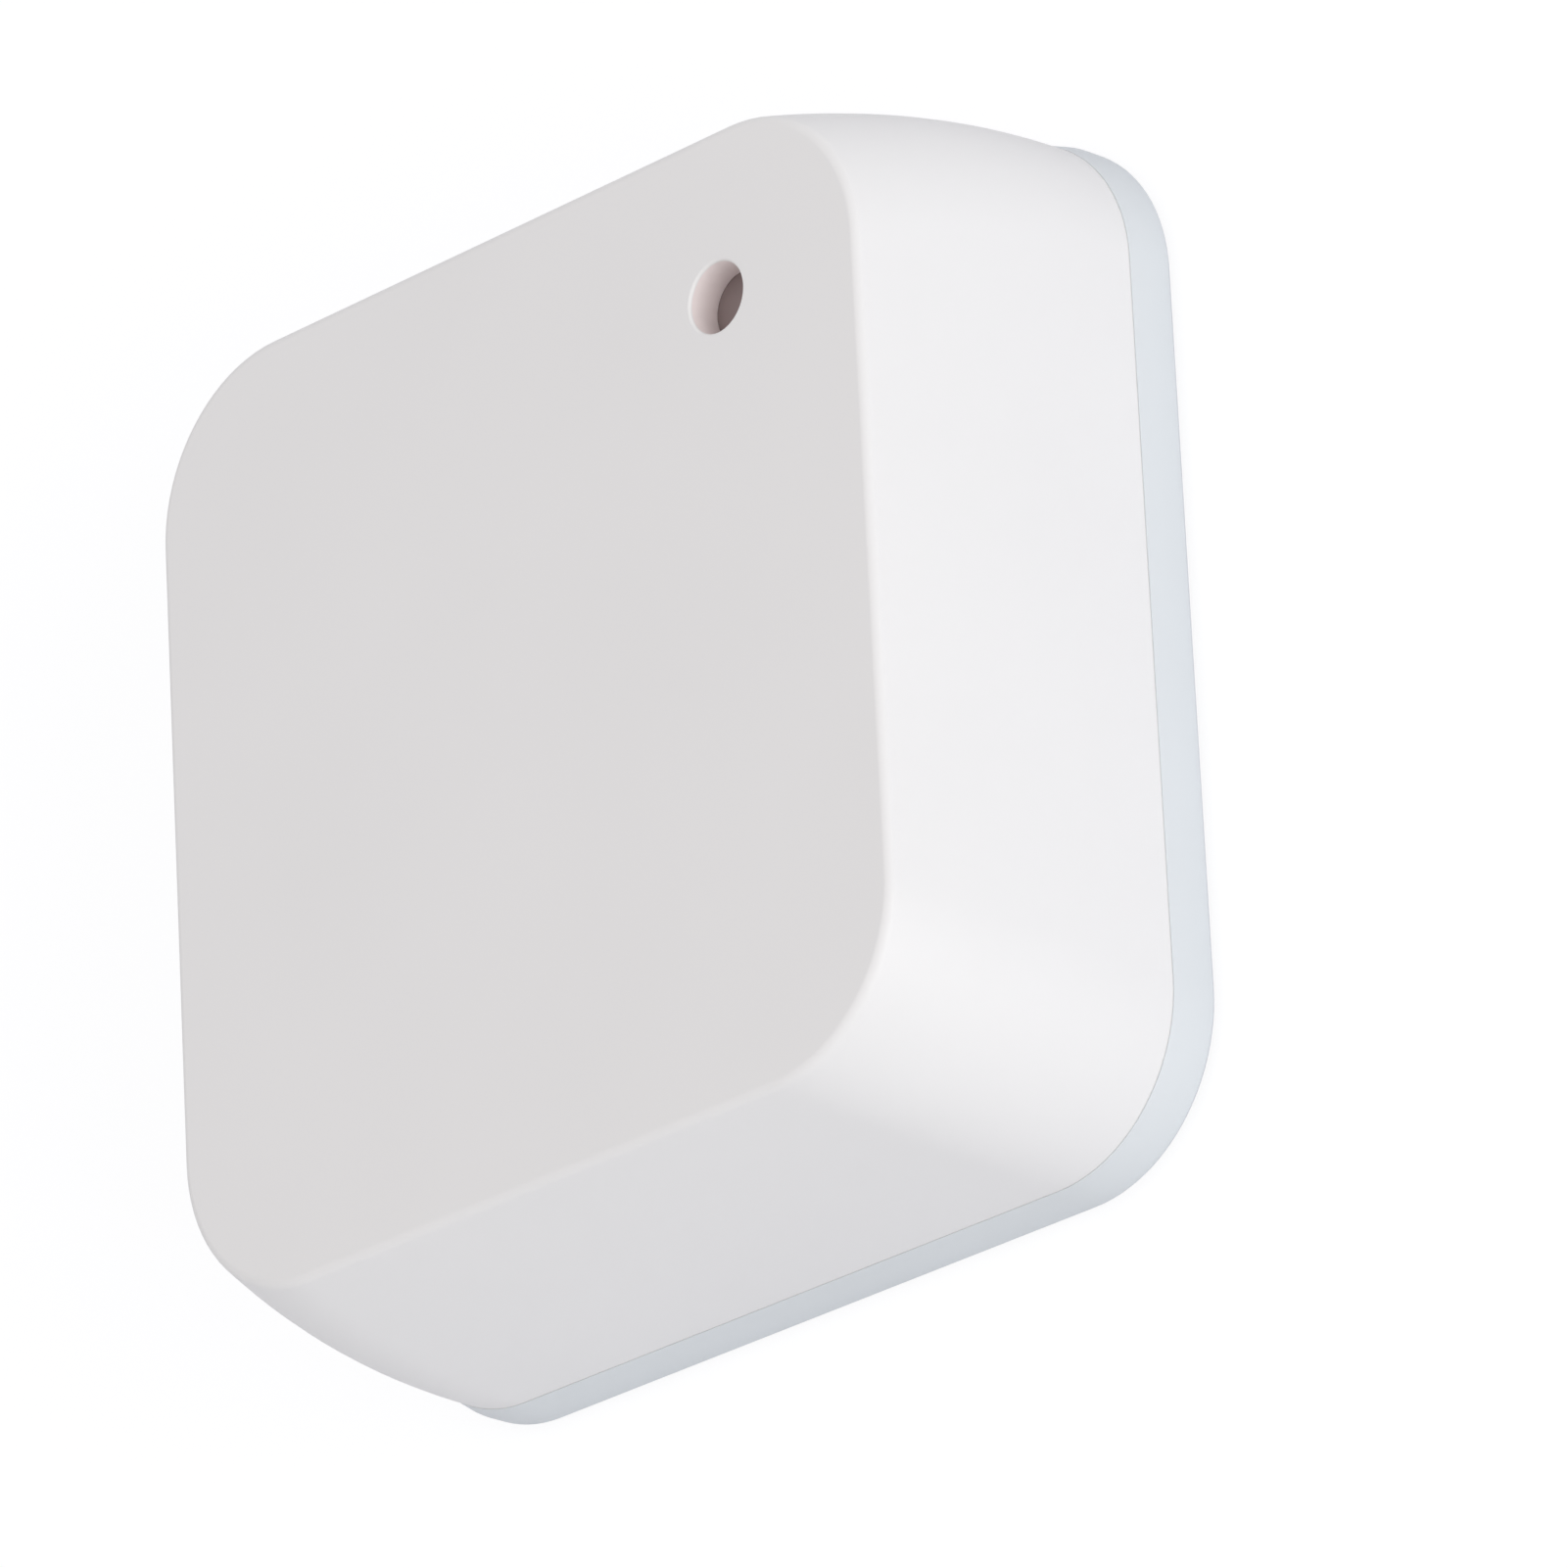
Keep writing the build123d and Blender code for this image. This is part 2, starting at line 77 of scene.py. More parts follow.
MM = 0.001
EPS = 1e-4  # slack when places are compared
CRUMB = 0.002  # vertices nearer than this are made one
BEYOND = 1.0  # how far a cutting tool reaches past what it cuts
SCREW_HEAD = 2.2  # radius of the board screws' heads
HEADER_PINS = 6
INLET_CONTACTS = 12  # on each side of the inlet's tongue
HALF_HOLES = 11  # along each edge of the radio module
SMALL_PART = (1.6, 0.8)  # length and width of a small chip part


# Places and sizes, in millimetres


def spans(node):
    """A CAD node's span on each axis."""
    low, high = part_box(node)
    return [(a / MM, b / MM) for a, b in zip(low, high)]


def middle(span):
    return (span[0] + span[1]) / 2


def width(span):
    return span[1] - span[0]


def about(centre, size):
    return (centre - size / 2, centre + size / 2)


def grid(xs, ys, z=0.0):
    """Places at every crossing of two rows."""
    return [(x, y, z) for x in xs for y in ys]


def row(count, pitch, centre=0.0):
    """Evenly spaced places about a centre."""
    return [centre + (i - (count - 1) / 2) * pitch for i in range(count)]


def even_levels(low, high, steps):
    """Heights from low to high in even steps."""
    return [low + (high - low) * i / steps for i in range(steps + 1)]


def own_props(settings):
    """The properties of a settings group, without the two that every group has."""
    return [prop for prop in settings.bl_rna.properties if prop.identifier not in ("rna_type", "name")]


def sizes(group):
    """A settings group's lengths in millimetres, and its other values as they are."""
    settings = getattr(bpy.context.scene, "sensor_" + group)
    found = {}
    for prop in own_props(settings):
        value = getattr(settings, prop.identifier)
        found[prop.identifier] = value / MM if getattr(prop, "unit", "NONE") == "LENGTH" else value
    return SimpleNamespace(**found)


class Housing:
    """The front shell's outer form, read from the CAD nodes."""

    def __init__(self):
        x_span, _, z_span = spans("front_shell")
        self.parting, self.front = z_span
        self.half = x_span[1]
        depth = width(z_span)
        face = sizes("shell").face_side / 2
        flare = self.half - face
        self.arc = (depth**2 + flare**2) / (2 * flare)

    def wall_half(self, z, inset=0.0):
        """Half width at height z of the surface that lies inset inside the outer wall."""
        return self.half - self.arc + math.sqrt((self.arc - inset) ** 2 - (z - self.parting) ** 2)



def only(obj):
    """Selects one object and makes it the active one."""
    bpy.ops.object.select_all(action="DESELECT")
    obj.select_set(True)
    bpy.context.view_layer.objects.active = obj
    return obj


@contextlib.contextmanager
def editing():
    """Edit mode on the active object, for as long as the block runs."""
    bpy.ops.object.mode_set(mode="EDIT")
    yield
    bpy.ops.object.mode_set(mode="OBJECT")


def settle():
    """Takes the selected objects' places, turns and scales into their meshes."""
    bpy.ops.object.transform_apply(location=True, rotation=True, scale=True)


def twin_of(obj):
    """A copy of an object, with a mesh of its own."""
    twin = obj.copy()
    twin.data = obj.data.copy()
    bpy.context.scene.collection.objects.link(twin)
    return twin


def pick(kind, test):
    """In edit mode, selects the faces or edges that pass a test."""
    mesh = bmesh.from_edit_mesh(bpy.context.object.data)
    bpy.ops.mesh.select_mode(type="FACE" if kind == "faces" else "EDGE")
    bpy.ops.mesh.select_all(action="DESELECT")
    for item in getattr(mesh, kind):
        if test(item):
            item.select_set(True)
    mesh.select_flush_mode()
    bmesh.update_edit_mesh(bpy.context.object.data)


def upright(edge):
    a, b = (v.co for v in edge.verts)
    return abs(a.z - b.z) > 2 * max(abs(a.x - b.x), abs(a.y - b.y))


def mid(edge):
    return (edge.verts[0].co + edge.verts[1].co) / 2


def on_rim(edge, z):
    """Whether an edge over height z borders an upright face."""
    return all(v.co.z > z for v in edge.verts) and any(abs(f.normal.z) < 0.5 for f in edge.link_faces)


def round_edges(test, radius, segments):
    """In edit mode, rounds the edges that pass a test."""
    pick("edges", test)
    bpy.ops.mesh.bevel(offset=radius, segments=segments, profile=0.5, affect="EDGES", clamp_overlap=False)


def add_box(x_span, y_span, z_span):
    """Cube shaped to three spans."""
    box = (x_span, y_span, z_span)
    bpy.ops.mesh.primitive_cube_add(
        size=1, location=[middle(s) for s in box], scale=[width(s) for s in box]
    )
    settle()
    return bpy.context.object


def add_slab(x_span, y_span, z_span, corner, segments=8):
    """Box with rounded upright edges."""
    obj = add_box(x_span, y_span, z_span)
    with editing():
        round_edges(upright, corner, segments)
    return obj


def add_obround(w, h, z_span):
    """Slab with fully rounded ends."""
    return add_slab(about(0, w), about(0, h), z_span, h / 2 - 0.002, 14)


def add_turned(profile, centre=(0, 0, 0), sides=48, turn=None):
    """Solid of revolution about Z, drawn up ring by ring from its radius and height at each step."""
    radius, height = profile[0]
    bpy.ops.mesh.primitive_circle_add(
        vertices=sides, radius=radius, fill_type="NGON", location=(0, 0, height)
    )
    settle()
    with editing():
        bpy.ops.mesh.select_all(action="SELECT")
        for next_radius, next_height in profile[1:]:
            bpy.ops.mesh.extrude_region_move(
                TRANSFORM_OT_translate={"value": (0, 0, next_height - height)}
            )
            scale = next_radius / radius
            bpy.ops.transform.resize(value=(scale, scale, 1), center_override=(0, 0, next_height))
            radius, height = next_radius, next_height
        bpy.ops.mesh.select_all(action="SELECT")
        bpy.ops.mesh.normals_make_consistent(inside=False)
    return put(bpy.context.object, centre, turn)


def add_peg(radius, z_span, centre=(0, 0, 0), sides=48, turn=None):
    """Plain cylinder, also used to bore holes."""
    return add_turned([(radius, z) for z in z_span], centre, sides, turn)


def add_flared(housing, inset, levels, corner, segments=16):
    """Block with four swelling walls, drawn up level by level, with its upright edges rounded."""
    half = housing.wall_half(max(levels[0], housing.parting), inset)
    bpy.ops.mesh.primitive_plane_add(size=2 * half, location=(0, 0, levels[0]))
    settle()
    with editing():
        bpy.ops.mesh.select_all(action="SELECT")
        for low, high in zip(levels, levels[1:]):
            bpy.ops.mesh.extrude_region_move(TRANSFORM_OT_translate={"value": (0, 0, high - low)})
            next_half = housing.wall_half(max(high, housing.parting), inset)
            scale = next_half / half
            bpy.ops.transform.resize(value=(scale, scale, 1), center_override=(0, 0, high))
            half = next_half
        bpy.ops.mesh.select_all(action="SELECT")
        bpy.ops.mesh.normals_make_consistent(inside=False)
        round_edges(upright, corner, segments)
    return bpy.context.object


def combine(target, tool, operation="DIFFERENCE"):
    """Cuts a tool out of a piece, or joins it on, and takes the tool away."""
    only(target)
    bpy.ops.object.modifier_add(type="BOOLEAN")
    modifier = target.modifiers[-1]
    modifier.operation, modifier.object, modifier.solver = operation, tool, "EXACT"
    bpy.ops.object.modifier_apply(modifier=modifier.name)
    bpy.data.objects.remove(tool)
    return target


def soften(obj, radius, segments=2, angle=35, whole=lambda face: False):
    """Merges the crumbs that cutting leaves, divides large faces and rounds sharp edges.

    Faces that whole picks out are not divided.
    """
    only(obj)
    with editing():
        bpy.ops.mesh.select_all(action="SELECT")
        bpy.ops.mesh.remove_doubles(threshold=CRUMB)
        bpy.ops.mesh.dissolve_degenerate(threshold=CRUMB / 2)
        pick("faces", lambda f: len(f.verts) > 6 and not whole(f))
        bpy.ops.mesh.quads_convert_to_tris(ngon_method="BEAUTY")
    bpy.ops.object.modifier_add(type="BEVEL")
    modifier = obj.modifiers[-1]
    modifier.loop_slide = False
    modifier.width, modifier.segments = radius, segments
    modifier.limit_method, modifier.angle_limit = "ANGLE", math.radians(angle)
    modifier.use_clamp_overlap = False
    bpy.ops.object.modifier_apply(modifier=modifier.name)
    return obj


def add_block(x_span, y_span, z_span, edge, corner=0.0):
    """Box with its edges broken, and its upright edges rounded by more where a corner is given."""
    box = (x_span, y_span, z_span)
    return soften(add_slab(*box, corner, 5) if corner else add_box(*box), edge)


def put(obj, centre, turn=None):
    """Turns a piece about the origin and moves it, in its mesh."""
    only(obj)
    obj.matrix_world = Matrix.Translation(centre) @ (turn or Matrix.Identity(4))
    settle()
    return obj


def along_x():
    """Turn that takes +Z to +X, +X to +Y and +Y to +Z."""
    return Matrix(((0, 0, 1, 0), (1, 0, 0, 0), (0, 1, 0, 0), (0, 0, 0, 1)))


def quarter(turns):
    """Turn about +Z by a number of right angles."""
    return Matrix.Rotation(math.pi / 2 * turns, 4, "Z")


def copy_of(node):
    """A merged copy of a CAD node, in millimetres, with its flat faces whole."""
    source = frame["nodes"][node]
    obj = bpy.data.objects.new(node + "_copy", source.data.copy())
    obj.data.materials.clear()
    bpy.context.scene.collection.objects.link(obj)
    only(obj)
    obj.scale = (1 / MM,) * 3
    settle()
    with editing():
        bpy.ops.mesh.select_all(action="SELECT")
        bpy.ops.mesh.remove_doubles(threshold=EPS)
        bpy.ops.mesh.dissolve_limited(angle_limit=math.radians(1))
    bpy.ops.object.shade_flat()
    return obj


def join(objects):
    """Makes one object of several."""
    bpy.ops.object.select_all(action="DESELECT")
    for obj in objects:
        obj.select_set(True)
    bpy.context.view_layer.objects.active = objects[0]
    if len(objects) > 1:
        bpy.ops.object.join()
    return bpy.context.object


def copies(obj, places):
    """One object of a piece and its copies, each with its own mesh, at offsets from where it stands."""
    made = [obj] + [twin_of(obj) for _ in places[1:]]
    for twin, place in zip(made, places):
        twin.data.transform(Matrix.Translation(place))
    return join(made)


def finish_named(name):
    """One of this script's finishes; the frame's plain materials have the bare names."""
    return bpy.data.materials[name + "_finish"]


def paint(obj, *names):
    """Gives a piece its material, or several for paint_faces to choose from."""
    obj.data.materials.clear()
    for name in names:
        obj.data.materials.append(finish_named(name))
    return obj


def paint_faces(obj, index, test):
    """Gives the faces that pass a test one of the piece's materials."""
    only(obj)
    with editing():
        pick("faces", test)
        obj.active_material_index = index
        bpy.ops.object.material_slot_assign()
    return obj


def finish(obj, name, node, slot, smooth=30):
    """Brings a piece to metres, smooths it and puts it in its node's place."""
    only(obj)
    obj.name = obj.data.name = name
    obj.scale = (MM,) * 3
    settle()
    bpy.ops.object.shade_smooth_by_angle(angle=math.radians(smooth))
    bpy.ops.object.modifier_add(type="WEIGHTED_NORMAL")
    modifier = obj.modifiers[-1]
    modifier.keep_sharp = True
    bpy.ops.object.modifier_apply(modifier=modifier.name)
    if not obj.data.materials:
        paint(obj, slot)
    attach(obj, frame["nodes"][node]["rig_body"])
    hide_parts(node)
    return obj


# Finishes

GRAIN, STREAKS, PORES, TRACKS = "Moulded grain", "Rolled streaks", "Foam pores", "Board tracks"
BROAD = 60.0  # scale of the slow drift in a surface's tone


class Tree:
    """Short ways to place and link nodes in one node tree."""

    def __init__(self, tree):
        self.tree = tree
        self.tree.nodes.clear()

    def node(self, kind, settings=(), **inputs):
        made = self.tree.nodes.new(kind)
        for key, value in dict(settings).items():
            setattr(made, key, value)
        for key, value in inputs.items():
            self.feed(made, key, value)
        return made

    def feed(self, node, key, value):
        socket = node.inputs[int(key[1:]) if key[0] == "i" and key[1:].isdigit() else key.replace("_", " ")]
        if isinstance(value, bpy.types.NodeSocket):
            self.tree.links.new(value, socket)
        else:
            socket.default_value = value

    def math(self, operation, a, b=0.0, clamp=False):
        made = self.node("ShaderNodeMath", {"operation": operation, "use_clamp": clamp}, i0=a, i1=b)
        return made.outputs[0]

    def mix(self, factor, a, b, blend="MIX"):
        made = self.node("ShaderNodeMix", {"data_type": "RGBA", "blend_type": blend}, i0=factor, i6=a, i7=b)
        return made.outputs[2]

    def ramp(self, value, low, high, out_low=0.0, out_high=1.0):
        made = self.node("ShaderNodeMapRange", {}, i0=value, i1=low, i2=high, i3=out_low, i4=out_high)
        return made.outputs[0]

    def group(self, name, **inputs):
        """Places one of this script's node groups and gives its two outputs."""
        return self.node("ShaderNodeGroup", {"node_tree": bpy.data.node_groups[name]}, **inputs).outputs


def group(name, inputs, outputs):
    """Makes an empty node group with named sockets, and gives its tree helper and end nodes."""
    tree = bpy.data.node_groups.new(name, "ShaderNodeTree")
    for label, kind, default in inputs:
        socket = tree.interface.new_socket(name=label, in_out="INPUT", socket_type=kind)
        if default is not None:
            socket.default_value = default
    for label, kind in outputs:
        tree.interface.new_socket(name=label, in_out="OUTPUT", socket_type=kind)
    helper = Tree(tree)
    return helper, helper.node("NodeGroupInput"), helper.node("NodeGroupOutput")


def texture_group(name, fine, stretch, cells=False):
    """Fine relief of a surface and the broad drift of its tone.

    Cells turn the relief into pores, and a stretch turns it into streaks.
    """
    t, start, end = group(
        name,
        [("Fine Scale", "NodeSocketFloat", fine), ("Broad Scale", "NodeSocketFloat", BROAD)],
        [("Height", "NodeSocketFloat"), ("Drift", "NodeSocketFloat")],
    )
    where = t.node("ShaderNodeTexCoord").outputs["Object"]
    drawn = t.node("ShaderNodeMapping", {}, Vector=where, Scale=stretch).outputs[0]
    if cells:
        pore = t.node("ShaderNodeTexVoronoi", {"feature": "F1"}, Vector=drawn, Scale=start.outputs[0])
        height = t.ramp(pore.outputs["Distance"], 0.15, 0.6)
    else:
        height = t.node(
            "ShaderNodeTexNoise", {}, Vector=drawn, Scale=start.outputs[0], Detail=3.0, Roughness=0.6
        ).outputs[0]
    broad = t.node("ShaderNodeTexNoise", {}, Vector=where, Scale=start.outputs[1], Detail=2.0)
    t.feed(end, "Height", height)
    t.feed(end, "Drift", t.ramp(broad.outputs[0], 0.3, 0.7))


def board_tracks():
    """Copper tracks under solder mask: square tiles whose lines run on into their neighbours'."""
    t, start, end = group(
        TRACKS,
        [("Tile Scale", "NodeSocketFloat", 900.0), ("Seed", "NodeSocketFloat", 1.0)],
        [("Track", "NodeSocketFloat"), ("Via", "NodeSocketFloat")],
    )
    where = t.node("ShaderNodeTexCoord").outputs["Object"]
    scaled = t.node("ShaderNodeVectorMath", {"operation": "SCALE"}, Vector=where, Scale=start.outputs[0])
    split = t.node("ShaderNodeSeparateXYZ", {}, Vector=scaled.outputs[0])
    x, y = split.outputs[0], split.outputs[1]
    u = t.math("SUBTRACT", t.math("FRACT", x), 0.5)
    v = t.math("SUBTRACT", t.math("FRACT", y), 0.5)
    tile = t.node(
        "ShaderNodeCombineXYZ", {}, X=t.math("FLOOR", x), Y=t.math("FLOOR", y), Z=start.outputs[1]
    )
    noise = {"noise_dimensions": "3D"}
    chance = t.node("ShaderNodeTexWhiteNoise", noise, Vector=tile.outputs[0]).outputs[0]
    plus = t.math("ABSOLUTE", t.math("ADD", u, v))
    minus = t.math("ABSOLUTE", t.math("SUBTRACT", u, v))
    up = t.math("MULTIPLY", t.math("ABSOLUTE", t.math("SUBTRACT", plus, 0.5)), 0.7071)
    down = t.math("MULTIPLY", t.math("ABSOLUTE", t.math("SUBTRACT", minus, 0.5)), 0.7071)
    cross = t.math("MINIMUM", t.math("ABSOLUTE", u), t.math("ABSOLUTE", v))
    slant = t.node("ShaderNodeMix", {}, i0=t.math("LESS_THAN", chance, 0.4), i2=down, i3=up).outputs[0]
    line = t.node("ShaderNodeMix", {}, i0=t.math("LESS_THAN", chance, 0.8), i2=cross, i3=slant).outputs[0]
    block = t.node(
        "ShaderNodeCombineXYZ", {}, X=t.math("FLOOR", t.math("MULTIPLY", x, 0.2)),
        Y=t.math("FLOOR", t.math("MULTIPLY", y, 0.25)), Z=start.outputs[1],
    )
    routed = t.node("ShaderNodeTexWhiteNoise", noise, Vector=block.outputs[0]).outputs[0]
    centre = t.math("SQRT", t.math("ADD", t.math("MULTIPLY", u, u), t.math("MULTIPLY", v, v)))
    drawn = t.math("MULTIPLY", t.ramp(line, 0.1, 0.13, 1.0, 0.0), t.math("LESS_THAN", routed, 0.62))
    t.feed(end, "Track", drawn)
    round_spot, drilled = t.ramp(centre, 0.15, 0.18, 1.0, 0.0), t.math("GREATER_THAN", chance, 0.94)
    t.feed(end, "Via", t.math("MULTIPLY", round_spot, drilled))


def new_finish(name):
    """Empty material, and the tree helper for its nodes."""
    material = bpy.data.materials.new(name + "_finish")
    material.use_nodes = True
    return Tree(material.node_tree)


def surface(name, base, other, roughness, spread, grain, depth, kind=GRAIN, broad=BROAD, **shader):
    """Material whose tone, gloss and bump all vary over the surface with one of the texture groups.

    Base and other are its two tones, spread is how far the roughness goes either way, grain is the
    relief's scale and depth its height in millimetres.
    """
    t = new_finish(name)
    height, drift = t.group(kind, Fine_Scale=grain, Broad_Scale=broad)
    colour = t.mix(drift, (*base, 1), (*other, 1))
    gloss = t.ramp(height, 0.3, 0.7, roughness - spread, roughness + spread)
    bump = t.node("ShaderNodeBump", {}, Height=height, Distance=depth * MM, Strength=1.0)
    body = t.node(
        "ShaderNodeBsdfPrincipled", {}, Base_Color=colour, Roughness=gloss, Normal=bump.outputs[0], **shader
    )
    t.node("ShaderNodeOutputMaterial", {}, Surface=body.outputs[0])


def laminate(name, mask, track, tile, seed):
    """Circuit board: solder mask with the tracks showing through it, and tinned vias."""
    t = new_finish(name)
    relief, drift = t.group(GRAIN, Fine_Scale=1400.0, Broad_Scale=90.0)
    line, via = t.group(TRACKS, Tile_Scale=1000.0 / tile, Seed=seed)
    ground = t.mix(drift, (*mask, 1), (*[c * 1.25 for c in mask], 1))
    colour = t.mix(via, t.mix(line, ground, (*track, 1)), (0.5, 0.48, 0.42, 1))
    height = t.math("ADD", t.math("MULTIPLY", relief, 0.15), t.math("MAXIMUM", line, via))
    bump = t.node("ShaderNodeBump", {}, Height=height, Distance=0.02 * MM, Strength=0.8)
    body = t.node(
        "ShaderNodeBsdfPrincipled", {}, Base_Color=colour, Metallic=via,
        Roughness=t.ramp(relief, 0.3, 0.7, 0.24, 0.4), Normal=bump.outputs[0],
    )
    t.node("ShaderNodeOutputMaterial", {}, Surface=body.outputs[0])


def make_finishes():
    """Every finish of the device: those of the record's slots by their names, and the small parts' own."""
    texture_group(GRAIN, 5000.0, (1, 1, 1))
    texture_group(STREAKS, 900.0, (1, 14, 14))
    texture_group(PORES, 2600.0, (1, 1, 1), True)
    board_tracks()
    look = bpy.context.scene.sensor_look
    shell, cover = tuple(look.shell_colour), tuple(look.cover_colour)
    shade = lambda colour, k: tuple(c * k for c in colour)
    metal = {"kind": STREAKS, "Metallic": 1.0}
    surface("shell_plastic", shell, shade(shell, 0.985), 0.48, 0.05, 4200.0, 0.003)
    # painted glow: the bore's walls get a warm pink tone that stands in for light scattered through the
    # white plastic; they are moulded in the shell's own plastic
    surface("light_hole_plastic", (0.97, 0.885, 0.875), (0.95, 0.865, 0.855), 0.45, 0.05, 4200.0, 0.003)
    surface("cover_plastic", cover, shade(cover, 0.985), 0.42, 0.05, 4200.0, 0.003)
    surface("button_plastic", shell, shade(shell, 0.97), 0.4, 0.05, 5200.0, 0.003)
    surface("pad_foam", (0.012, 0.012, 0.013), (0.022, 0.022, 0.023), 0.85, 0.08, 2600.0, 0.06, PORES)
    laminate("main_laminate", (0.008, 0.075, 0.032), (0.018, 0.15, 0.06), 1.1, 3.0)
    laminate("radar_laminate", (0.008, 0.009, 0.011), (0.026, 0.028, 0.033), 0.9, 7.0)
    laminate("module_laminate", (0.006, 0.016, 0.07), (0.014, 0.04, 0.15), 0.7, 11.0)
    surface("laminate_edge", (0.36, 0.33, 0.16), (0.27, 0.26, 0.12), 0.7, 0.1, 1500.0, 0.02, STREAKS)
    surface("solder_tin", (0.66, 0.65, 0.63), (0.56, 0.55, 0.54), 0.24, 0.08, 2600.0, 0.01, Metallic=1.0)
    surface("screw_steel", (0.56, 0.55, 0.55), (0.47, 0.47, 0.49), 0.32, 0.08, 1600.0, 0.004, **metal)
    surface("inlet_steel", (0.66, 0.66, 0.67), (0.58, 0.58, 0.6), 0.26, 0.08, 1200.0, 0.004, **metal)
    surface("can_steel", (0.64, 0.64, 0.65), (0.56, 0.56, 0.57), 0.3, 0.09, 900.0, 0.004, **metal)
    surface("black_moulding", (0.016, 0.016, 0.018), (0.023, 0.023, 0.025), 0.48, 0.08, 3600.0, 0.008)
    surface("chip_moulding", (0.02, 0.02, 0.021), (0.029, 0.029, 0.031), 0.6, 0.08, 5200.0, 0.012)
    surface("contact_gold", (0.84, 0.6, 0.24), (0.76, 0.52, 0.19), 0.26, 0.06, 1800.0, 0.003, **metal)
    surface("plunger_plastic", (0.37, 0.34, 0.28), (0.33, 0.31, 0.26), 0.45, 0.05, 4000.0, 0.004)
    guide, clear = (0.27, 0.212, 0.205), {"Coat_Weight": 1.0}
    surface("guide_smoke", guide, (0.25, 0.196, 0.19), 0.18, 0.04, 1200.0, 0.002, Coat_Weight=0.5)
    surface("sensor_glass", (0.035, 0.03, 0.03), (0.06, 0.05, 0.05), 0.1, 0.03, 2000.0, 0.001, **clear)
    surface("sensor_die", (0.1, 0.09, 0.2), (0.22, 0.16, 0.28), 0.22, 0.06, 3000.0, 0.002, STREAKS, 900.0)
    lens = (0.82, 0.76, 0.52)
    surface("status_lens", lens, (0.78, 0.71, 0.46), 0.26, 0.05, 3000.0, 0.003, Coat_Weight=0.4)
    surface("pillar_nylon", (0.64, 0.6, 0.52), (0.59, 0.55, 0.47), 0.42, 0.06, 3000.0, 0.006)
    surface("ferrite", (0.035, 0.035, 0.038), (0.06, 0.059, 0.061), 0.6, 0.1, 3600.0, 0.02, PORES)
    surface("coil_wire", (0.5, 0.16, 0.05), (0.42, 0.12, 0.035), 0.25, 0.05, 1500.0, 0.003, Metallic=0.8)
    surface("can_aluminium", (0.74, 0.74, 0.75), (0.67, 0.67, 0.68), 0.28, 0.06, 1600.0, 0.003, **metal)
    surface("dark_mark", (0.02, 0.02, 0.022), (0.03, 0.03, 0.033), 0.4, 0.08, 2600.0, 0.004)
    surface("chip_ceramic", (0.33, 0.21, 0.11), (0.26, 0.16, 0.08), 0.45, 0.08, 4200.0, 0.008)
    surface("resistor_glaze", (0.012, 0.012, 0.014), (0.02, 0.02, 0.024), 0.2, 0.05, 4200.0, 0.004)
    surface("crystal_ceramic", (0.3, 0.27, 0.22), (0.25, 0.22, 0.18), 0.5, 0.08, 3600.0, 0.01)


# Settings


def length(label, text, default):
    return bpy.props.FloatProperty(
        name=label, description=text, default=default * MM, unit="LENGTH", min=0.0
    )


def amount(label, text, default):
    return bpy.props.FloatProperty(name=label, description=text, default=default, min=0.0)


def colour(label, text, default):
    return bpy.props.FloatVectorProperty(
        name=label, description=text, default=default, subtype="COLOR", size=3, min=0.0, max=1.0
    )


class SensorShellSettings(bpy.types.PropertyGroup):
    """Sizes of the front shell."""

    face_side: length("Face side", "Side of the flat front face", 54.5)
    corner: length("Corner radius", "Radius of the four upright corners", 9.1)
    rim: length("Rim radius", "Rounding between the front face and the walls", 0.45)
    wall: length("Wall", "Thickness of the side walls", 2.0)
    front_wall: length("Front wall", "Thickness of the front wall", 2.1)
    relief: length("Window relief", "How much thinner the front wall is before the radar", 0.5)
    aperture: length("Light hole", "Diameter of the round hole in the front", 4.0)
    aperture_lip: length("Light hole's lip", "Rounding of the hole's front edge", 0.2)
    boss_wall: length("Boss wall", "Wall of the boss round the light guide", 1.2)
    boss_length: length("Boss length", "Length of that boss under the front wall", 5.5)
    foot: length("Foot radius", "Rounding of the shell's lower outer edge", 0.015)
    edge: length("Small edges", "Rounding of every other sharp edge", 0.06)


class SensorOpeningsSettings(bpy.types.PropertyGroup):
    """Sizes of the openings in the left wall, and of what fills them."""

    inlet_height: length("Inlet height", "Height of the power inlet's shell", 3.2)
    inlet_gap: length("Inlet gap", "Gap round the inlet in its opening", 0.35)
    notch_shoulder: length("Notch shoulder", "How much wider the notch is than the opening, each side", 1.0)
    notch_clearance: length("Notch clearance", "Gap between the notch and the cover's tongue", 0.1)
    button_stem: length("Button radius", "Radius of the reset button", 1.7)
    button_flange: length("Button flange", "Thickness of the button's flange", 0.8)
    button_crown: length("Button crown", "Rounding of the button's tip", 0.3)
    button_gap: length("Button gap", "Gap round the button in its bore", 0.1)
    seat_gap: length("Seat gap", "Gap round the flange in its seat", 0.4)
    rest_gap: length("Rest gap", "Play between the flange and its seat", 0.05)


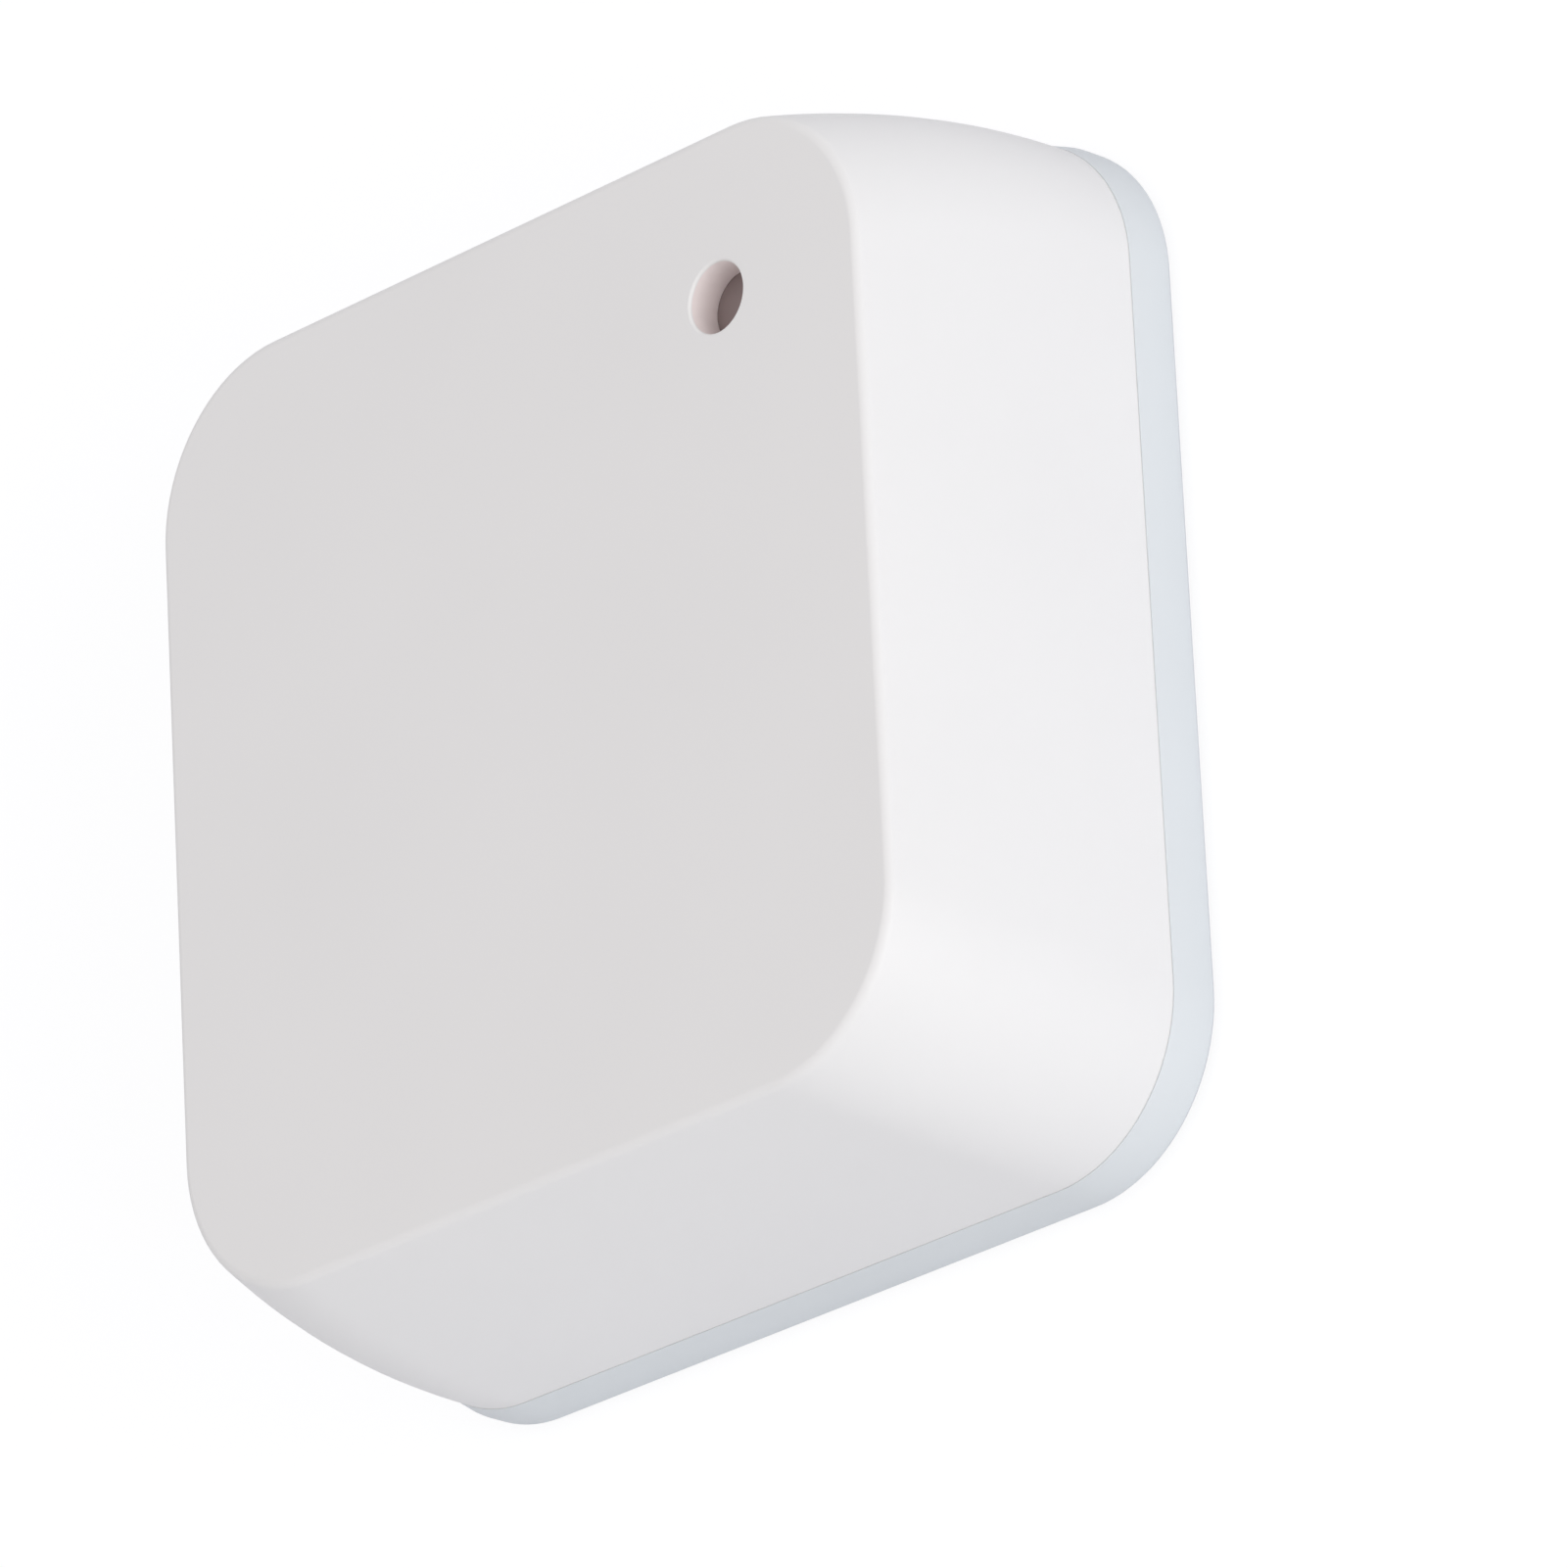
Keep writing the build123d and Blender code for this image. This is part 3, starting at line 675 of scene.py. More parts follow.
class SensorCoverSettings(bpy.types.PropertyGroup):
    """Sizes of the rear cover and its pad."""

    corner: length("Corner radius", "Radius of the cover's four corners", 9.44)
    rear_edge: length("Rear edge", "Rounding of the rear edge", 0.4)
    rim_inset: length("Rim inset", "How far the sides lean in towards the shell", 0.3)
    rim_height: length("Rim height", "Over which height they lean in", 1.4)
    lip_height: length("Lip height", "Height of the lip that goes into the shell", 2.4)
    lip_wall: length("Lip wall", "Thickness of the lip", 1.2)
    lip_corner: length("Lip corner", "Radius of the lip's corners", 6.95)
    lip_gap: length("Lip gap", "Gap between the lip and the shell", 0.15)
    rib: length("Rib radius", "Radius of the friction ribs", 0.5)
    rib_gap: length("Rib gap", "Gap between a rib and the shell", 0.03)
    rib_spread: length("Rib spread", "From the middle of a side to a rib", 14.0)
    post: length("Post radius", "Radius of the board's posts", 2.5)
    post_inset: length("Post inset", "From the board's edge in to a post's axis", 4.0)
    pilot: length("Pilot radius", "Radius of a post's screw hole", 1.3)
    pilot_depth: length("Pilot depth", "Depth of that hole", 5.0)
    keyhole_at: length("Keyhole place", "From the middle to a keyhole, across", 19.0)
    keyhole: length("Keyhole radius", "Radius of a keyhole's round entry", 3.6)
    keyhole_slot: length("Keyhole slot", "Radius of a keyhole's slot", 1.8)
    keyhole_drop: length("Keyhole drop", "From the middle down to the entry, and up to the slot's end", 2.5)
    pad_corner: length("Pad corner", "Radius of the pad's corners", 3.0)
    pad_recess: length("Pad recess", "Depth of the recess for the pad", 0.6)
    pad_gap: length("Pad gap", "Gap round the pad in its recess", 0.3)
    edge: length("Small edges", "Rounding of every other sharp edge", 0.04)


class SensorBoardSettings(bpy.types.PropertyGroup):
    """Details of the circuit boards and of what is soldered to them."""

    edge: length("Board edges", "Breaking of the boards' edges", 0.05)
    solder: length("Solder", "How far a soldered pad stands over its board", 0.04)
    ring: length("Screw ring", "Outer radius of the tinned ring round a screw hole", 2.9)
    probe: length("Test point", "Radius of a bare round test point", 0.45)
    castellation: length("Half holes", "Radius of the half holes in the radio module's edge", 0.35)
    castellation_pitch: length("Half hole pitch", "From one half hole to the next", 1.27)
    chip_edge: length("Chip edges", "Breaking of the moulded chips' edges", 0.05)
    chip_lead: length("Chip leads", "Width of a chip's leads; they stand twice as far apart", 0.25)
    chip_mark: length("Chip mark", "Radius of the round dimple at a chip's first lead", 0.35)
    small_end: length("Tinned ends", "Length of a small part's tinned end", 0.32)


class SensorHardwareSettings(bpy.types.PropertyGroup):
    """Details of the screws, the inlet, the switch and the power parts."""

    shank: length("Screw shank", "Outer radius of the thread", 1.25)
    thread: length("Thread pitch", "From one turn of the thread to the next", 0.55)
    recess: length("Screw recess", "Depth of the cross in a screw's head", 0.8)
    recess_width: length("Recess width", "Width of that cross's arms", 0.6)
    inlet_skin: length("Inlet sheet", "Thickness of the inlet's sheet", 0.3)
    inlet_leg: length("Inlet legs", "Width of the inlet's four legs", 1.1)
    contact_pitch: length("Contact pitch", "From one contact of the inlet to the next", 0.5)
    plunger: length("Plunger", "Radius of the switch's plunger", 1.0)
    header_pitch: length("Header pitch", "From one pin of the header to the next", 2.0)
    peg: length("Pillar peg", "Radius of the pillars' pegs", 0.8)
    can_sheet: length("Can sheet", "Thickness of the radio module's can", 0.2)
    wire: length("Coil wire", "Radius of the coil's copper wire", 0.13)
    groove: length("Coil groove", "Depth of the groove that the wire lies in", 0.3)


class SensorLookSettings(bpy.types.PropertyGroup):
    """Colours that a user would change."""

    shell_colour: colour("Shell", "Colour of the front shell", (0.88, 0.875, 0.872))
    cover_colour: colour("Cover", "Colour of the rear cover", (0.746, 0.782, 0.805))


class SensorStageSettings(bpy.types.PropertyGroup):
    """The studio and the view."""

    distance: length("Camera distance", "From the camera to the point it looks at", 801.13)
    lens: bpy.props.FloatProperty(
        name="Lens", description="The camera's focal length in millimetres", default=340.98, min=10.0
    )
    roll: bpy.props.FloatProperty(
        name="Roll", description="Turn of the picture about the line of sight",
        default=math.radians(-2.893), subtype="ANGLE",
    )
    world: amount("World", "Strength of the light from all round", 0.635)
    key: amount("Key", "Power of the large lamp on the right, in watts", 3.98)
    fill: amount("Fill", "Power of the lamp over the face, in watts", 0.29)
    side: amount("Side", "Power of each of the two lamps at the sides, in watts", 0.35)


# Pieces


def make_front_shell(housing, s):
    """The shell's outer form, with its rounded rim and foot."""
    shell = add_flared(housing, 0.0, even_levels(housing.parting, housing.front, 14), s.corner, 20)
    with editing():
        top = housing.front - EPS
        round_edges(lambda e: on_rim(e, top), s.rim, 5)
        foot = lambda e: all(v.co.z < housing.parting + EPS for v in e.verts)
        round_edges(foot, s.foot, 2)
    return shell


def guide_axis():
    """Foot of the light guide's axis, which is the light hole's too."""
    x_span, y_span, _ = spans("light_guide")
    return (middle(x_span), middle(y_span), 0)


def hollow_front_shell(shell, housing, s):
    """Cuts the hollow, the radar's relief, the light guide's boss and the openings."""
    ceiling = housing.front - s.front_wall
    relief_top = ceiling + s.relief
    levels = [housing.parting - BEYOND, *even_levels(housing.parting, ceiling, 10)]
    combine(shell, add_flared(housing, s.wall, levels, s.corner - s.wall, 12))
    margin = 1.0
    window = [(a - margin, b + margin) for a, b in spans("radar_board")[:2]]
    combine(shell, add_slab(*window, (ceiling - BEYOND, relief_top), 2.0))
    centre, bore = guide_axis(), width(spans("light_guide")[0]) / 2 + 0.05
    low = ceiling - s.boss_length
    combine(shell, add_peg(bore + s.boss_wall, (low, relief_top + 0.5), centre, 64), "UNION")
    combine(shell, add_peg(bore, (low - BEYOND, ceiling), centre, 64))
    hole, lip = s.aperture / 2, s.aperture_lip
    # 0.98, not 1, so that the curve's last point stands just over the front
    curve = [
        (hole + lip * (1 - math.cos(a)), housing.front - lip * (0.98 - math.sin(a)))
        for a in [math.radians(d) for d in (0, 20, 40, 60, 80)]
    ]
    over = (curve[-1][0], housing.front + BEYOND)
    combine(shell, add_turned([(hole, ceiling - 0.5), *curve, over], centre, 96))
    return shell


def inlet_way(s, x_span):
    """Tool for the way in to the power inlet."""
    _, y_span, (_, top) = spans("inlet_shell")
    w, h = width(y_span) + 2 * s.inlet_gap, s.inlet_height + 2 * s.inlet_gap
    return put(add_obround(w, h, x_span), (0, middle(y_span), top - s.inlet_height / 2), along_x())


def inlet_notch(s, clearance, x_span, low):
    """Tool for the notch under the inlet's opening, or the cover's tongue that fills it."""
    _, y_span, (_, top) = spans("inlet_shell")
    w = width(y_span) + 2 * (s.inlet_gap + s.notch_shoulder - clearance)
    return add_box(x_span, about(middle(y_span), w), (low, top - s.inlet_height / 2 - clearance))


def open_front_shell(shell, housing, s):
    """Cuts the openings for the power inlet and the reset button."""
    through = (-housing.half - 5, -housing.half + 10)
    combine(shell, inlet_way(s, through))
    combine(shell, inlet_notch(s, 0, through, housing.parting - BEYOND))
    (_, end), y_span, z_span = spans("reset_button")
    centre = (0, middle(y_span), middle(z_span))
    bore, seat = s.button_stem + s.button_gap, width(y_span) / 2 + s.seat_gap
    combine(shell, add_peg(bore, through, centre, 48, along_x()))
    start = end - s.button_flange - s.rest_gap
    return combine(shell, add_peg(seat, (start, start + 4), centre, 64, along_x()))


class SENSOR_OT_front_shell(bpy.types.Operator):
    """Models the white front shell with its swelling walls and its light hole"""

    bl_idname = "sensor.front_shell"
    bl_label = "Front shell"

    def execute(self, context):
        housing = Housing()
        s = sizes("shell")
        shell = hollow_front_shell(make_front_shell(housing, s), housing, s)
        open_front_shell(shell, housing, sizes("openings"))
        soften(shell, s.edge, whole=lambda f: f.calc_center_median().z > housing.front - EPS)
        axis, reach = Vector(guide_axis()), s.aperture / 2 + 0.1

        def in_hole(face):
            """Whether a face is on the hole's wall, under its lip."""
            from_axis = face.calc_center_median() - axis
            deep = from_axis.z < housing.front - s.aperture_lip
            return deep and from_axis.xy.length < reach and abs(face.normal.z) < 0.9

        # the bore's walls under the lip get the painted warm glow of scattered light
        paint_faces(paint(shell, "shell_plastic", "light_hole_plastic"), 1, in_hole)
        finish(shell, "front_shell_moulding", "front_shell", "shell_plastic", 40)
        return {"FINISHED"}


def make_cover_plate(housing, s):
    """The cover's plate with its rounded edges, keyholes and pad recess."""
    x_span, y_span, (low, _) = spans("rear_cover")
    top = housing.parting
    plate = add_slab(x_span, y_span, (low, top), s.corner, 24)
    with editing():
        round_edges(lambda e: all(v.co.z < low + EPS for v in e.verts), s.rear_edge, 6)
        pick("faces", lambda f: f.normal.z > 0.5)
        bpy.ops.mesh.inset(thickness=s.rim_inset, depth=0)
        pick("edges", lambda e: on_rim(e, top - EPS))
        bpy.ops.transform.translate(value=(0, 0, -s.rim_height))
    for x in (-s.keyhole_at, s.keyhole_at):
        through = (low - BEYOND, top + BEYOND)
        entry = add_peg(s.keyhole, through, (x, -s.keyhole_drop, 0), 64)
        slot = add_box(about(x, 2 * s.keyhole_slot), about(0, 2 * s.keyhole_drop), through)
        end = add_peg(s.keyhole_slot, through, (x, s.keyhole_drop, 0), 48)
        combine(plate, combine(combine(entry, slot, "UNION"), end, "UNION"))
    x_span, y_span = (about(middle(a), width(a) + 2 * s.pad_gap) for a in spans("adhesive_pad")[:2])
    recess = (low - BEYOND, low + s.pad_recess)
    return combine(plate, add_slab(x_span, y_span, recess, s.pad_corner + s.pad_gap, 10))


def make_cover_lip(housing, s, wall):
    """Lip that goes into the shell, with its friction ribs."""
    low, top = housing.parting - 0.5, housing.parting + s.lip_height
    half = housing.wall_half(top, wall) - s.lip_gap
    lip = add_slab((-half, half), (-half, half), (low, top), s.lip_corner, 16)
    x = half + s.lip_gap - s.rib_gap - s.rib
    profile = [(s.rib, low), (s.rib, top - 0.35), (s.rib * 0.4, top - 0.02)]
    for turn in range(4):
        for y in (-s.rib_spread, s.rib_spread):
            rib = add_turned(profile, (x, y, 0), 24)
            combine(lip, put(rib, (0, 0, 0), quarter(turn)), "UNION")
    inner = half - s.lip_wall
    through = (low - BEYOND, top + BEYOND)
    hollow = add_slab((-inner, inner), (-inner, inner), through, s.lip_corner - s.lip_wall, 16)
    return combine(lip, hollow), inner


def make_cover_tongue(housing, s, inner, corner):
    """Tongue that fills the shell's notch, flush with its wall."""
    low = housing.parting - 0.5
    levels = [low, *even_levels(housing.parting, housing.parting + 8, 6)]
    tongue = inlet_notch(s, s.notch_clearance, (-housing.half - 5, -inner), low)
    combine(tongue, add_flared(housing, 0.0, levels, corner, 12), "INTERSECT")
    return combine(tongue, inlet_way(s, (-housing.half - 5, -inner + 5)))


class SENSOR_OT_rear_cover(bpy.types.Operator):
    """Models the cooler white rear cover with its lip, posts and keyholes"""

    bl_idname = "sensor.rear_cover"
    bl_label = "Rear cover"

    def execute(self, context):
        housing = Housing()
        s = sizes("cover")
        cover = make_cover_plate(housing, s)
        shell = sizes("shell")
        lip, inner = make_cover_lip(housing, s, shell.wall)
        combine(cover, lip, "UNION")
        openings = sizes("openings")
        combine(cover, make_cover_tongue(housing, openings, inner, shell.corner), "UNION")
        (_, edge), _, (seat, _) = spans("main_board")
        foot, wide = housing.parting, s.post + 0.3
        post = [(wide, foot - 0.5), (wide, foot), (s.post, foot + 0.4), (s.post, seat)]
        at = edge - s.post_inset
        for centre in grid([-at, at], [-at, at]):
            combine(cover, add_turned(post, centre, 40), "UNION")
            combine(cover, add_peg(s.pilot, (seat - s.pilot_depth, seat + BEYOND), centre, 32))
        soften(cover, s.edge)
        finish(cover, "rear_cover_moulding", "rear_cover", "cover_plastic", 40)
        return {"FINISHED"}


class SENSOR_OT_adhesive_pad(bpy.types.Operator):
    """Models the foam pad"""

    bl_idname = "sensor.adhesive_pad"
    bl_label = "Adhesive pad"

    def execute(self, context):
        s = sizes("cover")
        pad = soften(add_slab(*spans("adhesive_pad"), s.pad_corner, 12), 0.12, 3)
        finish(pad, "adhesive_foam", "adhesive_pad", "pad_foam", 40)
        return {"FINISHED"}


class SENSOR_OT_reset_button(bpy.types.Operator):
    """Models the reset button with its shallow dish"""

    bl_idname = "sensor.reset_button"
    bl_label = "Reset button"

    def execute(self, context):
        s = sizes("openings")
        (tip, end), y_span, z_span = spans("reset_button")
        r, c, flange = s.button_stem, s.button_crown, width(y_span) / 2
        turns = (0, 0.4, 0.8, 1.2, math.pi / 2)
        crown = [(r - c + c * math.sin(a), tip + c - c * math.cos(a)) for a in turns]
        dish = [(0.35 * r, tip + 0.1), (0.55 * r, tip + 0.07), (0.7 * r, tip + 0.02)]
        start = end - s.button_flange
        rest = [(r, start), (flange, start), (flange, end)]
        cap = add_turned(dish + crown + rest, (0, middle(y_span), middle(z_span)), 64, along_x())
        soften(cap, 0.05, 2, 60)
        finish(cap, "reset_button_cap", "reset_button", "button_plastic", 40)
        return {"FINISHED"}


class SENSOR_OT_light_guide(bpy.types.Operator):
    """Models the smoky light guide behind the round hole"""

    bl_idname = "sensor.light_guide"
    bl_label = "Light guide"

    def execute(self, context):
        x_span, _, (low, high) = spans("light_guide")
        r = width(x_span) / 2
        profile = [(r - 0.2, low), (r, low + 0.2), (r, high - 0.12), (r - 0.12, high)]
        guide = add_turned(profile, guide_axis(), 72)
        finish(guide, "light_guide_rod", "light_guide", "guide_smoke")
        return {"FINISHED"}


# Small pieces that several groups use


def screw_places(z=0.0):
    """The board screws' axes, at a height."""
    at = spans("board_screws")[0][1] - SCREW_HEAD
    return grid([-at, at], [-at, at], z)


def small_part_places():
    """Middles of the small chip parts, in three columns of five."""
    x_span, y_span, _ = spans("chip_parts")
    long, wide = SMALL_PART
    reach = (width(x_span) - long) / 2
    return grid(row(3, reach, middle(x_span)), row(5, (width(y_span) - wide) / 4, middle(y_span)))


def half_hole_rows(s):
    """Places along Y of the half holes in the radio module's edges."""
    return row(HALF_HOLES, s.castellation_pitch, spans("module_board")[1][0] + 12.4)


def add_pads(x_size, y_size, places, low, height):
    """Soldered pads of one size, each a low block with a rounded rim, at places on a board."""
    pad = add_box(about(0, x_size), about(0, y_size), (low, low + height))
    with editing():
        rim = height * 0.7
        round_edges(lambda e: upright(e) or all(v.co.z > low + EPS for v in e.verts), rim, 2)
    return paint(copies(pad, places), "solder_tin")


def add_round_pads(radius, places, low, height):
    """Round soldered pads of one size."""
    dome = [(radius, low), (radius * 0.97, low + height * 0.6), (radius * 0.85, low + height)]
    return paint(copies(add_turned(dome, sides=20), places), "solder_tin")


def add_ring(inner, outer, places, low, height):
    """Tinned rings round holes."""
    ring = add_peg(outer, (low, low + height), sides=40)
    combine(ring, add_peg(inner, (low - BEYOND, low + BEYOND), sides=40))
    return paint(copies(ring, places), "solder_tin")


def add_chip(node, leads, s, up=1):
    """Moulded chip: a body drawn in towards its top, leads along its sides and a round dimple."""
    x_span, y_span, (low, high) = spans(node)
    cx, cy = middle(x_span), middle(y_span)
    size, depth = width(x_span), high - low
    body = add_box(about(0, size - 0.1), about(0, size - 0.1), (0.05, depth))
    with editing():
        pick("faces", lambda f: f.normal.z > 0.9)
        bpy.ops.transform.resize(value=(0.97, 0.97, 1), center_override=(0, 0, depth))
    corner = size / 2 - 3 * s.chip_mark
    mark = add_peg(s.chip_mark, (depth - 0.09, depth + BEYOND), (-corner, corner, 0), 28)
    soften(combine(body, mark), s.chip_edge, 2, 50)
    paint(body, "chip_moulding")
    lead = add_block((size / 2 - 0.35, size / 2), about(0, s.chip_lead), (0, 0.22), 0.03)
    side = copies(lead, grid([0], row(leads, 2 * s.chip_lead)))
    sides = [side] + [put(twin_of(side), (0, 0, 0), quarter(turn)) for turn in (1, 2, 3)]
    chip = join([body, paint(join(sides), "solder_tin")])
    over = None if up > 0 else Matrix.Rotation(math.pi, 4, "X")
    return put(chip, (cx, cy, low if up > 0 else high), over)


def on_side(face):
    return abs(face.normal.z) < 0.3


def edge_of_laminate(board, name, s):
    """Breaks a board's edges and bares the laminate on its sides."""
    soften(board, s.edge, 1)
    paint(board, name, "laminate_edge")
    return paint_faces(board, 1, on_side)


# Pieces inside


class SENSOR_OT_light_parts(bpy.types.Operator):
    """Models the light sensor and the status light under the guide"""

    bl_idname = "sensor.light_parts"
    bl_label = "Light parts"

    def execute(self, context):
        x_span, y_span, (low, high) = spans("light_sensor")
        cx, cy = middle(x_span), middle(y_span)
        base = paint(add_block(x_span, y_span, (low, low + 0.3), 0.04), "crystal_ceramic")
        resin = add_block(about(cx, 1.9), about(cy, 1.9), (low + 0.28, high), 0.04, 0.3)
        paint(resin, "sensor_glass", "sensor_die")
        die = high - 0.04
        combine(resin, add_box(about(cx, 1.0), about(cy, 1.0), (die, high + BEYOND)))
        paint_faces(resin, 1, lambda f: f.normal.z > 0.9 and abs(f.calc_center_median().z - die) < 0.01)
        ends = add_pads(0.5, 0.3, grid([cx - 0.6, cx + 0.6], [cy - 0.84, cy + 0.84]), low, 0.26)
        finish(join([base, resin, ends]), "light_sensor_package", "light_sensor", "sensor_glass")

        x_span, y_span, (low, high) = spans("status_light")
        cx, cy = middle(x_span), middle(y_span)
        base = paint(add_block(about(cx, 1.5), y_span, (low, low + 0.25), 0.03), "crystal_ceramic")
        lens = add_block(about(cx, 1.05), about(cy, 0.74), (low + 0.24, high), 0.09)
        ends = [
            paint(add_block(about(x, 0.3), y_span, (low, low + 0.27), 0.04), "solder_tin")
            for x in row(2, width(x_span) - 0.3, cx)
        ]
        light = join([paint(lens, "status_lens"), base, *ends])
        finish(light, "status_light_package", "status_light", "status_lens")
        return {"FINISHED"}


def main_board_solder(s, h):
    """Pads, rings and test points on the main board, placed by the parts that they hold."""
    high = {"low": spans("main_board")[2][1], "height": s.solder}
    pads = lambda x_size, y_size, places: add_pads(x_size, y_size, places, **high)

    def ends(node, x_in, y_in):
        """Four places, so far in from a node's ends and sides."""
        (x0, x1), (y0, y1), _ = spans(node)
        return grid([x0 + x_in, x1 - x_in], [y0 + y_in, y1 - y_in])

    made = [add_ring(1.4, s.ring, screw_places(), **high)]
    made.append(pads(0.62, 0.92, [(x + e, y, 0) for x, y, _ in small_part_places() for e in (-0.72, 0.72)]))
    (x0, x1), (y0, y1), _ = spans("regulator_leads")
    cx = middle((x0, x1))
    made += [pads(1.1, 1.5, grid(row(3, 2.3, cx), [y0 + 0.45])), pads(3.5, 1.5, [(cx, y1 - 0.45, 0)])]
    for node, pitch in (("coil_base", 3.8), ("bulk_base", 3.4)):
        x_span, y_span, _ = spans(node)
        made.append(pads(1.9, 2.2, grid(row(2, pitch, middle(x_span)), [middle(y_span)])))
    made.append(pads(1.2, 1.0, ends("crystal", 0.5, 0.4)))
    (x0, x1), (y0, y1), _ = spans("switch_body")
    made.append(pads(1.0, 1.3, grid([x0 + 0.8, x1 - 0.3], [y0 - 0.3, y1 + 0.3])))
    end = spans("inlet_insulator")[0][1]
    made.append(pads(1.3, 0.28, grid([end + 0.75], row(INLET_CONTACTS, h.contact_pitch))))
    made.append(pads(0.7, 0.5, ends("light_sensor", 0.35, 0.05)[::2]))
    (x0, x1), y_span, _ = spans("status_light")
    made.append(pads(0.6, 0.9, grid([x0 - 0.05, x1 + 0.05], [middle(y_span)])))
    (x0, x1), _, _ = spans("module_board")
    made.append(pads(1.0, 0.75, grid([x0 - 0.2, x1 + 0.2], half_hole_rows(s))))
    probes = grid([-10.5, -13.0, -15.5], [18.5]) + grid([9.5, 12.0], [21.5, 23.5])
    return join([*made, add_round_pads(s.probe, probes, **high)])


class SENSOR_OT_main_board(bpy.types.Operator):
    """Models the green main board with its pads and test points"""

    bl_idname = "sensor.main_board"
    bl_label = "Main board"

    def execute(self, context):
        s, h = sizes("board"), sizes("hardware")
        board = edge_of_laminate(copy_of("main_board"), "main_laminate", s)
        finish(join([board, main_board_solder(s, h)]), "main_circuit_board", "main_board", "main_laminate")
        return {"FINISHED"}


def add_screw(h):
    """Pan-head screw with a rounded head, a threaded shank and a tapered cross, its seat at the origin."""
    (_, _, (low, high)), (_, _, (_, seat)) = spans("board_screws"), spans("main_board")
    under, head = low - seat, high - seat
    core, r = h.shank - 0.16, h.shank
    cone = under + 0.7
    profile = [(0.25, under), (core, cone)]
    turns = int((-0.3 - cone) / h.thread)
    for i in range(turns):
        z = cone + i * h.thread
        profile += [(core, z + 0.1), (r, z + 0.25), (r, z + 0.31), (core, z + 0.46)]
    profile += [(core + 0.02, -0.02), (SCREW_HEAD - 0.08, 0.0), (SCREW_HEAD, 0.07)]
    for inset, drop in ((0, 0.62), (0.03, 0.4), (0.15, 0.22), (0.38, 0.09), (0.75, 0.02), (1.1, 0)):
        profile.append((SCREW_HEAD - inset, head - drop))
    screw = add_turned(profile, sides=40)
    for turn in (0, 1):
        arm = add_box(about(0, 2 * r), about(0, h.recess_width), (head - h.recess, head + 0.5))
        with editing():
            pick("faces", lambda f: f.normal.z < -0.9)
            bpy.ops.transform.resize(value=(0.45, 0.7, 1), center_override=(0, 0, head - h.recess))
        combine(screw, put(arm, (0, 0, 0), quarter(turn)))
    return soften(screw, 0.03, 2, 50)


class SENSOR_OT_screws(bpy.types.Operator):
    """Models the four cross-head screws of the main board"""

    bl_idname = "sensor.screws"
    bl_label = "Screws"

    def execute(self, context):
        screw = add_screw(sizes("hardware"))
        screws = copies(screw, screw_places(spans("main_board")[2][1]))
        finish(screws, "board_screw_set", "board_screws", "screw_steel")
        return {"FINISHED"}


def add_inlet_sheath(s, h):
    """Drawn steel sheath of the inlet: closed at the rear, with a seam, two dimples and four legs, and its
    edges rounded.
    """
    (front, rear), y_span, (foot, top) = spans("inlet_shell")
    tall, skin = s.inlet_height, h.inlet_skin
    cz, w = top - tall / 2, width(y_span)
    sheath = add_obround(w, tall, (front, rear))
    combine(sheath, add_obround(w - 2 * skin, tall - 2 * skin, (front - BEYOND, rear - skin)))
    z_to_y = Matrix(((1, 0, 0, 0), (0, 0, 1, 0), (0, -1, 0, 0), (0, 0, 0, 1)))
    for x in row(2, 0.4 * w):
        dimple = add_turned([(0.55, tall / 2 - 0.05), (0.4, tall / 2 + 0.5)], sides=24)
        combine(sheath, put(dimple, (x, 0, middle((front, rear)) + 0.4), z_to_y))
    combine(sheath, add_box(about(0, 0.06), (tall / 2 - 0.04, tall), (front - BEYOND, rear + BEYOND)))
    put(sheath, (0, middle(y_span), cz), along_x())
    for i in range(2):
        end = rear - 0.4 - i * 2.2
        for sign in (-1, 1):
            y = sign * ((w - skin) / 2 - 0.01)
            leg = add_box((end - h.inlet_leg, end), about(y, skin), (foot, cz))
            with editing():
                pick("faces", lambda f: f.normal.z < -0.9)
                centre = (end - h.inlet_leg / 2, y, foot)
                bpy.ops.transform.resize(value=(0.6, 1, 1), center_override=centre)
            combine(sheath, leg, "UNION")
    return soften(sheath, 0.05, 2, 40)


def add_inlet_tongue():
    """Moulded base and tongue that carry the inlet's contacts."""
    (tip, end), y_span, z_span = spans("inlet_insulator")
    cy, cz = middle(y_span), middle(z_span)
    base = add_obround(width(y_span), width(z_span), (end - 1.6, end))
    tongue = add_box(about(0, 6.7), about(0, 0.7), (tip, end - 1.0))
    with editing():
        round_edges(lambda e: not upright(e) and abs(mid(e).z - tip) < EPS, 0.12, 2)
    step = add_box(about(0, 7.3), about(0, 1.1), (end - 2.0, end - 1.0))
    combine(combine(base, step, "UNION"), tongue, "UNION")
    return put(soften(base, 0.04, 2, 50), (0, cy, cz), along_x())


class SENSOR_OT_power_inlet(bpy.types.Operator):
    """Models the reversible power inlet: sheath, tongue and contacts"""

    bl_idname = "sensor.power_inlet"
    bl_label = "Power inlet"

    def execute(self, context):
        s, h = sizes("openings"), sizes("hardware")
        finish(add_inlet_sheath(s, h), "inlet_sheath", "inlet_shell", "inlet_steel", 20)
        finish(add_inlet_tongue(), "inlet_tongue", "inlet_insulator", "black_moulding")
        x_span, _, (low, high) = spans("inlet_contacts")
        places = grid([0], row(INLET_CONTACTS, h.contact_pitch))
        levels = ((high - 0.05, high), (low, low + 0.05))
        strips = [copies(add_block(x_span, about(0, 0.26), z_span, 0.015), places) for z_span in levels]
        finish(join(strips), "inlet_contact_strips", "inlet_contacts", "contact_gold")
        return {"FINISHED"}


